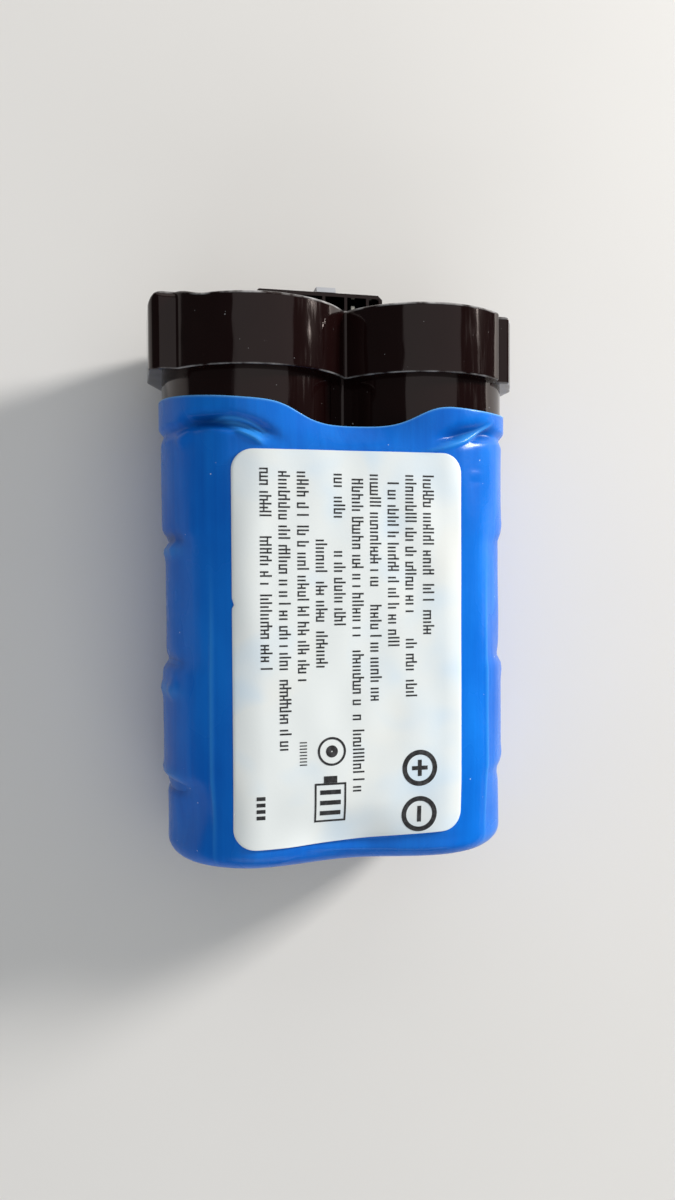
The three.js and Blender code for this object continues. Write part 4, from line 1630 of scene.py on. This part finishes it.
    def build(self) -> bpy.types.Object:
        """Build the cap as one closed skin.

        From the window the rows run out over the end face, round the rim, down the lip, in at its
        lower edge, down the skirt, round its end and up inside to the window again. The wear and
        painted highlight on the rim and on the lip's lower edge rise and fall as a half sine across
        each of them.

        Returns:
            bpy.types.Object: the piece.
        """
        rim_inset, rim_drop = round_corner(self.rim_round, 6)
        edge_inset, edge_rise = round_corner(self.edge_round, 4)
        end_face = self.lip(column(self.end, self.end), column(1.2, 0.5))
        rim = self.lip(self.end - rim_drop[:, None], rim_inset[:, None])
        lead_rows = self.end - np.arange(*self.lead_rows)
        wall_rows = np.concatenate([lead_rows, np.arange(73.2, 66.2, -0.5), [66.05]])
        wall = self.lip(wall_rows[:, None], 0 * wall_rows[:, None])
        lower = self.lip(self.lip_from + edge_rise[::-1, None], edge_inset[::-1, None])
        under = self.lip(column(self.lip_from), column(0.9))
        low = self.skirt_from
        outside_rows = column(65.69, 65.6, 64.5, 63.0, 61.5, 60.4, low + 0.1, low)
        outside = self.skirt(outside_rows, column(0, 0, 0, 0, 0, 0, 0, 0.1))
        inside_rows = column(low, low + 0.1, 62.0, 65.0, 67.0)
        inside_insets = column(self.skirt_wall - 0.1, *[self.skirt_wall] * 4)
        skirt = self.tongue(np.concatenate([outside, self.skirt(inside_rows, inside_insets)]))
        chamber_rows = column(self.chamber_from, self.ceiling - 0.1, self.ceiling)
        chamber = self.lip(chamber_rows, column(self.chamber_inset, self.chamber_inset, 1.9))
        reach = np.minimum(np.abs(chamber[..., 0]), self.chamber_half_width)
        chamber[..., 0] = np.sign(chamber[..., 0]) * reach
        tunnel = self.window_rows([self.ceiling, self.ceiling + 0.05, self.end - 0.1, self.end])
        grid = np.concatenate([end_face, rim, wall, lower, under, skirt, chamber, tunnel])
        rows, columns = grid.shape[:2]
        piece = new_mesh("end_cap", grid.reshape(-1, 3), ring_quads(rows, columns, True))
        piece.data.set_sharp_from_angle(angle=math.radians(30))
        # Mask for the pale edges that are partly wear and partly a painted highlight.
        wear = np.zeros(rows)
        first_rim = len(end_face)
        first_lower = first_rim + len(rim) + len(wall)
        wear[first_rim:first_rim + len(rim)] = 0.85 * np.sin(np.linspace(0.0, np.pi, len(rim)))
        wear[first_lower:first_lower + len(lower)] = 0.45 * np.sin(np.linspace(0.0, np.pi, len(lower)))
        store_mask(piece, "edge_wear_and_highlight", np.repeat(wear, columns))
        hand_over(piece, Slot.CAP, BLACK_PLASTIC.material(), "cap_shell")
        return piece


# ------------------------------------------------------------------------------ foam between the cells


@dataclass
class FoamSpacer:
    """The foam pad that is squeezed between the cells: a crowned block with its edges rounded over."""

    rows: int = 41
    columns: int = 72
    squareness: float = 0.45
    end_narrowing: float = 0.3
    fill: float = 0.8

    def squared(self, value: np.ndarray) -> np.ndarray:
        """Push a sine or cosine out towards a square: its sign times its size to a small power."""
        return np.sign(value) * np.abs(value) ** self.squareness

    def build(self) -> bpy.types.Object:
        """Build the pad as a closed skin in the space of its CAD node.

        Round the pad, x and z are a squared cosine and sine of the turn, drawn in by a small power
        of the sine of the row's angle; y is minus the squared cosine of that angle.

        Returns:
            bpy.types.Object: the piece.
        """
        low, high = (np.array(corner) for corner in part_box("foam_spacer"))
        middle = ((low + high) / 2 - DATUM.origin) / MM
        half = (high - low) / 2 / MM
        turn = np.linspace(0.0, 2 * np.pi, self.columns, endpoint=False)[None, :]
        row_angle = np.linspace(0.1, np.pi - 0.1, self.rows)[:, None]
        reach = np.sin(row_angle) ** self.end_narrowing
        x = half[0] * self.squared(np.cos(turn)) * reach
        z = half[2] * self.squared(np.sin(turn)) * reach
        y = -half[1] * self.squared(np.cos(row_angle)) + 0 * turn
        grid = np.stack([x, y, z], axis=-1) + middle
        last_row = (self.rows - 1) * self.columns
        quads = [ring_quads(self.rows, self.columns, False), fan_quads(0, self.columns)]
        quads.append(fan_quads(last_row, self.columns)[:, ::-1])
        piece = new_mesh("foam_pad", grid.reshape(-1, 3), np.concatenate(quads))
        hand_over(piece, Slot.FOAM, FINISHES[Slot.FOAM].material(), "foam_spacer")
        return piece


# ------------------------------------------------------------------------------ parts kept from CAD


@dataclass
class KeptParts:
    """The CAD nodes that stay as they are and only get their finishes."""

    slots: dict[str, Slot] = field(default_factory=lambda: {
        "terminal_block": Slot.CAP,
        "coding_clip": Slot.CLIP,
        "contact_": Slot.CONTACT,
        "cell_a_can": Slot.STEEL,
        "cell_b_can": Slot.STEEL,
        "_electrode_roll": Slot.ROLL,
        "_gasket": Slot.GASKET,
        "_positive_cap": Slot.NICKEL,
        "_wrap": Slot.WRAP,
        "_insulating_ring": Slot.CARD,
        "bracket_": Slot.BRACKET,
        "link_strip": Slot.NICKEL,
        "tab_": Slot.NICKEL,
        "tap_strip": Slot.NICKEL,
        "_card": Slot.CARD,
        "tap_insulation": Slot.CARD,
        "protection_board": Slot.BOARD,
        "mosfet_": Slot.CHIP,
        "protection_ic": Slot.CHIP,
        "sense_resistor": Slot.CERAMIC,
        "chip_fuse": Slot.CERAMIC,
        "capacitor_": Slot.CERAMIC,
        "thermistor_bead": Slot.CHIP,
        "thermistor_lead_": Slot.LEAD,
    })

    def slot_of(self, node: str) -> Slot:
        """Find a node's slot by the first key that its name holds.

        Args:
            node: the CAD node's name.

        Returns:
            Slot: its slot.
        """
        return next(slot for key, slot in self.slots.items() if key in node)

    def dress(self, replaced: set[str]) -> None:
        """Give every shown CAD node its material.

        Args:
            replaced: nodes that a new piece stands for.
        """
        materials = {slot: finish.material() for slot, finish in FINISHES.items()}
        materials[Slot.CAP] = BLACK_PLASTIC.material()
        for name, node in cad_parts.items():
            if name in replaced:
                continue
            slot = self.slot_of(name)
            node.data.materials.clear()
            node.data.materials.append(materials[slot])
            log.info("%s: kept, slot %s", name, slot.value)


# ------------------------------------------------------------------------------ studio


@dataclass(frozen=True)
class Panel:
    """A soft rectangular light: its place and sides in metres, and its power in watts."""

    name: str
    place: tuple[float, float, float]
    sides: tuple[float, float]
    power: float
    colour: Colour

    def hang(self) -> None:
        """Hang the light so that it faces the pack."""
        place = Vector(self.place)
        data = bpy.data.lights.new(self.name, "AREA")
        data.shape = "RECTANGLE"
        data.size, data.size_y = self.sides
        data.energy = self.power
        data.color = self.colour
        light = bpy.data.objects.new(self.name, data)
        light.location = place
        light.rotation_euler = (-place).to_track_quat("-Z", "Y").to_euler()
        bpy.context.scene.collection.objects.link(light)


WARM = (1.0, 0.97, 0.93)
COOL = (0.95, 0.98, 1.0)
PANELS = (
    Panel("key", (0.74, 0.38, 0.34), (0.15, 0.2), 9.5, WARM),
    Panel("overhead", (0.08, 0.0, 0.75), (1.1, 1.0), 1.7, COOL),
    Panel("far_panel", (0.1, 0.85, 0.42), (1.2, 0.6), 1.7, WARM),
    Panel("near_panel", (0.0, -0.8, 0.5), (1.0, 0.4), 2.0, COOL),
)


@dataclass
class Studio:
    """The floor, the lights and the camera."""

    camera_place: tuple[float, float, float] = (-29.19, 38.79, 130.78)
    camera_turns: tuple[float, float, float] = (0.011, 0.222, 0.027)
    lens: float = 27.68
    floor_half: float = 900.0
    rest_height: float = -13.94
    rest_from: float = 65.7
    rest_slope: float = 0.027
    room: Colour = (0.93, 0.97, 1.0)
    ambient: float = 0.2
    glossy_ambient: float = 0.07

    def camera(self) -> None:
        """Stand the camera over the pack's left side, looking almost straight down."""
        data = bpy.data.cameras.new("view")
        data.lens = self.lens
        data.sensor_width = 36.0
        data.clip_start, data.clip_end = 0.005, 10.0
        camera = bpy.data.objects.new("view", data)
        roll, pan, tilt = self.camera_turns
        turn = Matrix.Rotation(roll, 3, "Z")
        turn = turn @ Matrix.Rotation(pan, 3, "Y") @ Matrix.Rotation(tilt, 3, "X")
        camera.matrix_world = turn.transposed().to_4x4()
        camera.location = DATUM.metres(np.array(self.camera_place)).tolist()
        bpy.context.scene.collection.objects.link(camera)
        bpy.context.scene.camera = camera
        log.info("camera: lens %.2f mm", self.lens)

    def floor(self) -> None:
        """Lay the floor under the cap's lip and the sleeve's closed end, which sits a little lower down."""
        side = self.floor_half
        x = np.array([-side, side, side, -side])
        y = np.array([-side, -side, side, side])
        z = self.rest_height - 0.02 + (self.rest_from - y) * self.rest_slope
        mesh = bpy.data.meshes.new("floor")
        mesh.from_pydata(DATUM.metres(np.column_stack([x, y, z])).tolist(), [], [(0, 1, 2, 3)])
        mesh.materials.append(StudioFloor().material())
        floor = bpy.data.objects.new("floor", mesh)
        bpy.context.scene.collection.objects.link(floor)

    def lights(self) -> None:
        """Light the pack from the upper right and from broad dim panels, in a pale room.

        The room shows more weakly in the gloss than it lights.
        """
        for panel in PANELS:
            panel.hang()
        world = bpy.data.worlds.new("room")
        world.use_nodes = True
        tree = world.node_tree
        background = tree.nodes["Background"]
        background.inputs["Color"].default_value = (*self.room, 1.0)
        mirrored = Value(tree, tree.nodes.new("ShaderNodeLightPath").outputs["Is Glossy Ray"])
        strength = mirrored * (self.glossy_ambient - self.ambient) + self.ambient
        tree.links.new(strength.socket, background.inputs["Strength"])
        bpy.context.scene.world = world
        bpy.context.scene.view_settings.view_transform = "Standard"

    def build(self) -> None:
        """Set up the camera, the floor and the lights."""
        self.camera()
        self.floor()
        self.lights()


def main() -> None:
    """Build the studio and the pack, and report each piece."""
    logging.basicConfig(level=logging.INFO, format="%(name)s %(message)s")
    Studio().build()
    sleeve = Sleeve()
    sleeve.build()
    label = Label(sleeve)
    label.build()
    LabelPrint(label).build()
    EndCap().build()
    FoamSpacer().build()
    KeptParts().dress({"shrink_sleeve", "label", "cap_shell", "foam_spacer"})


if __name__ == "__main__":
    main()
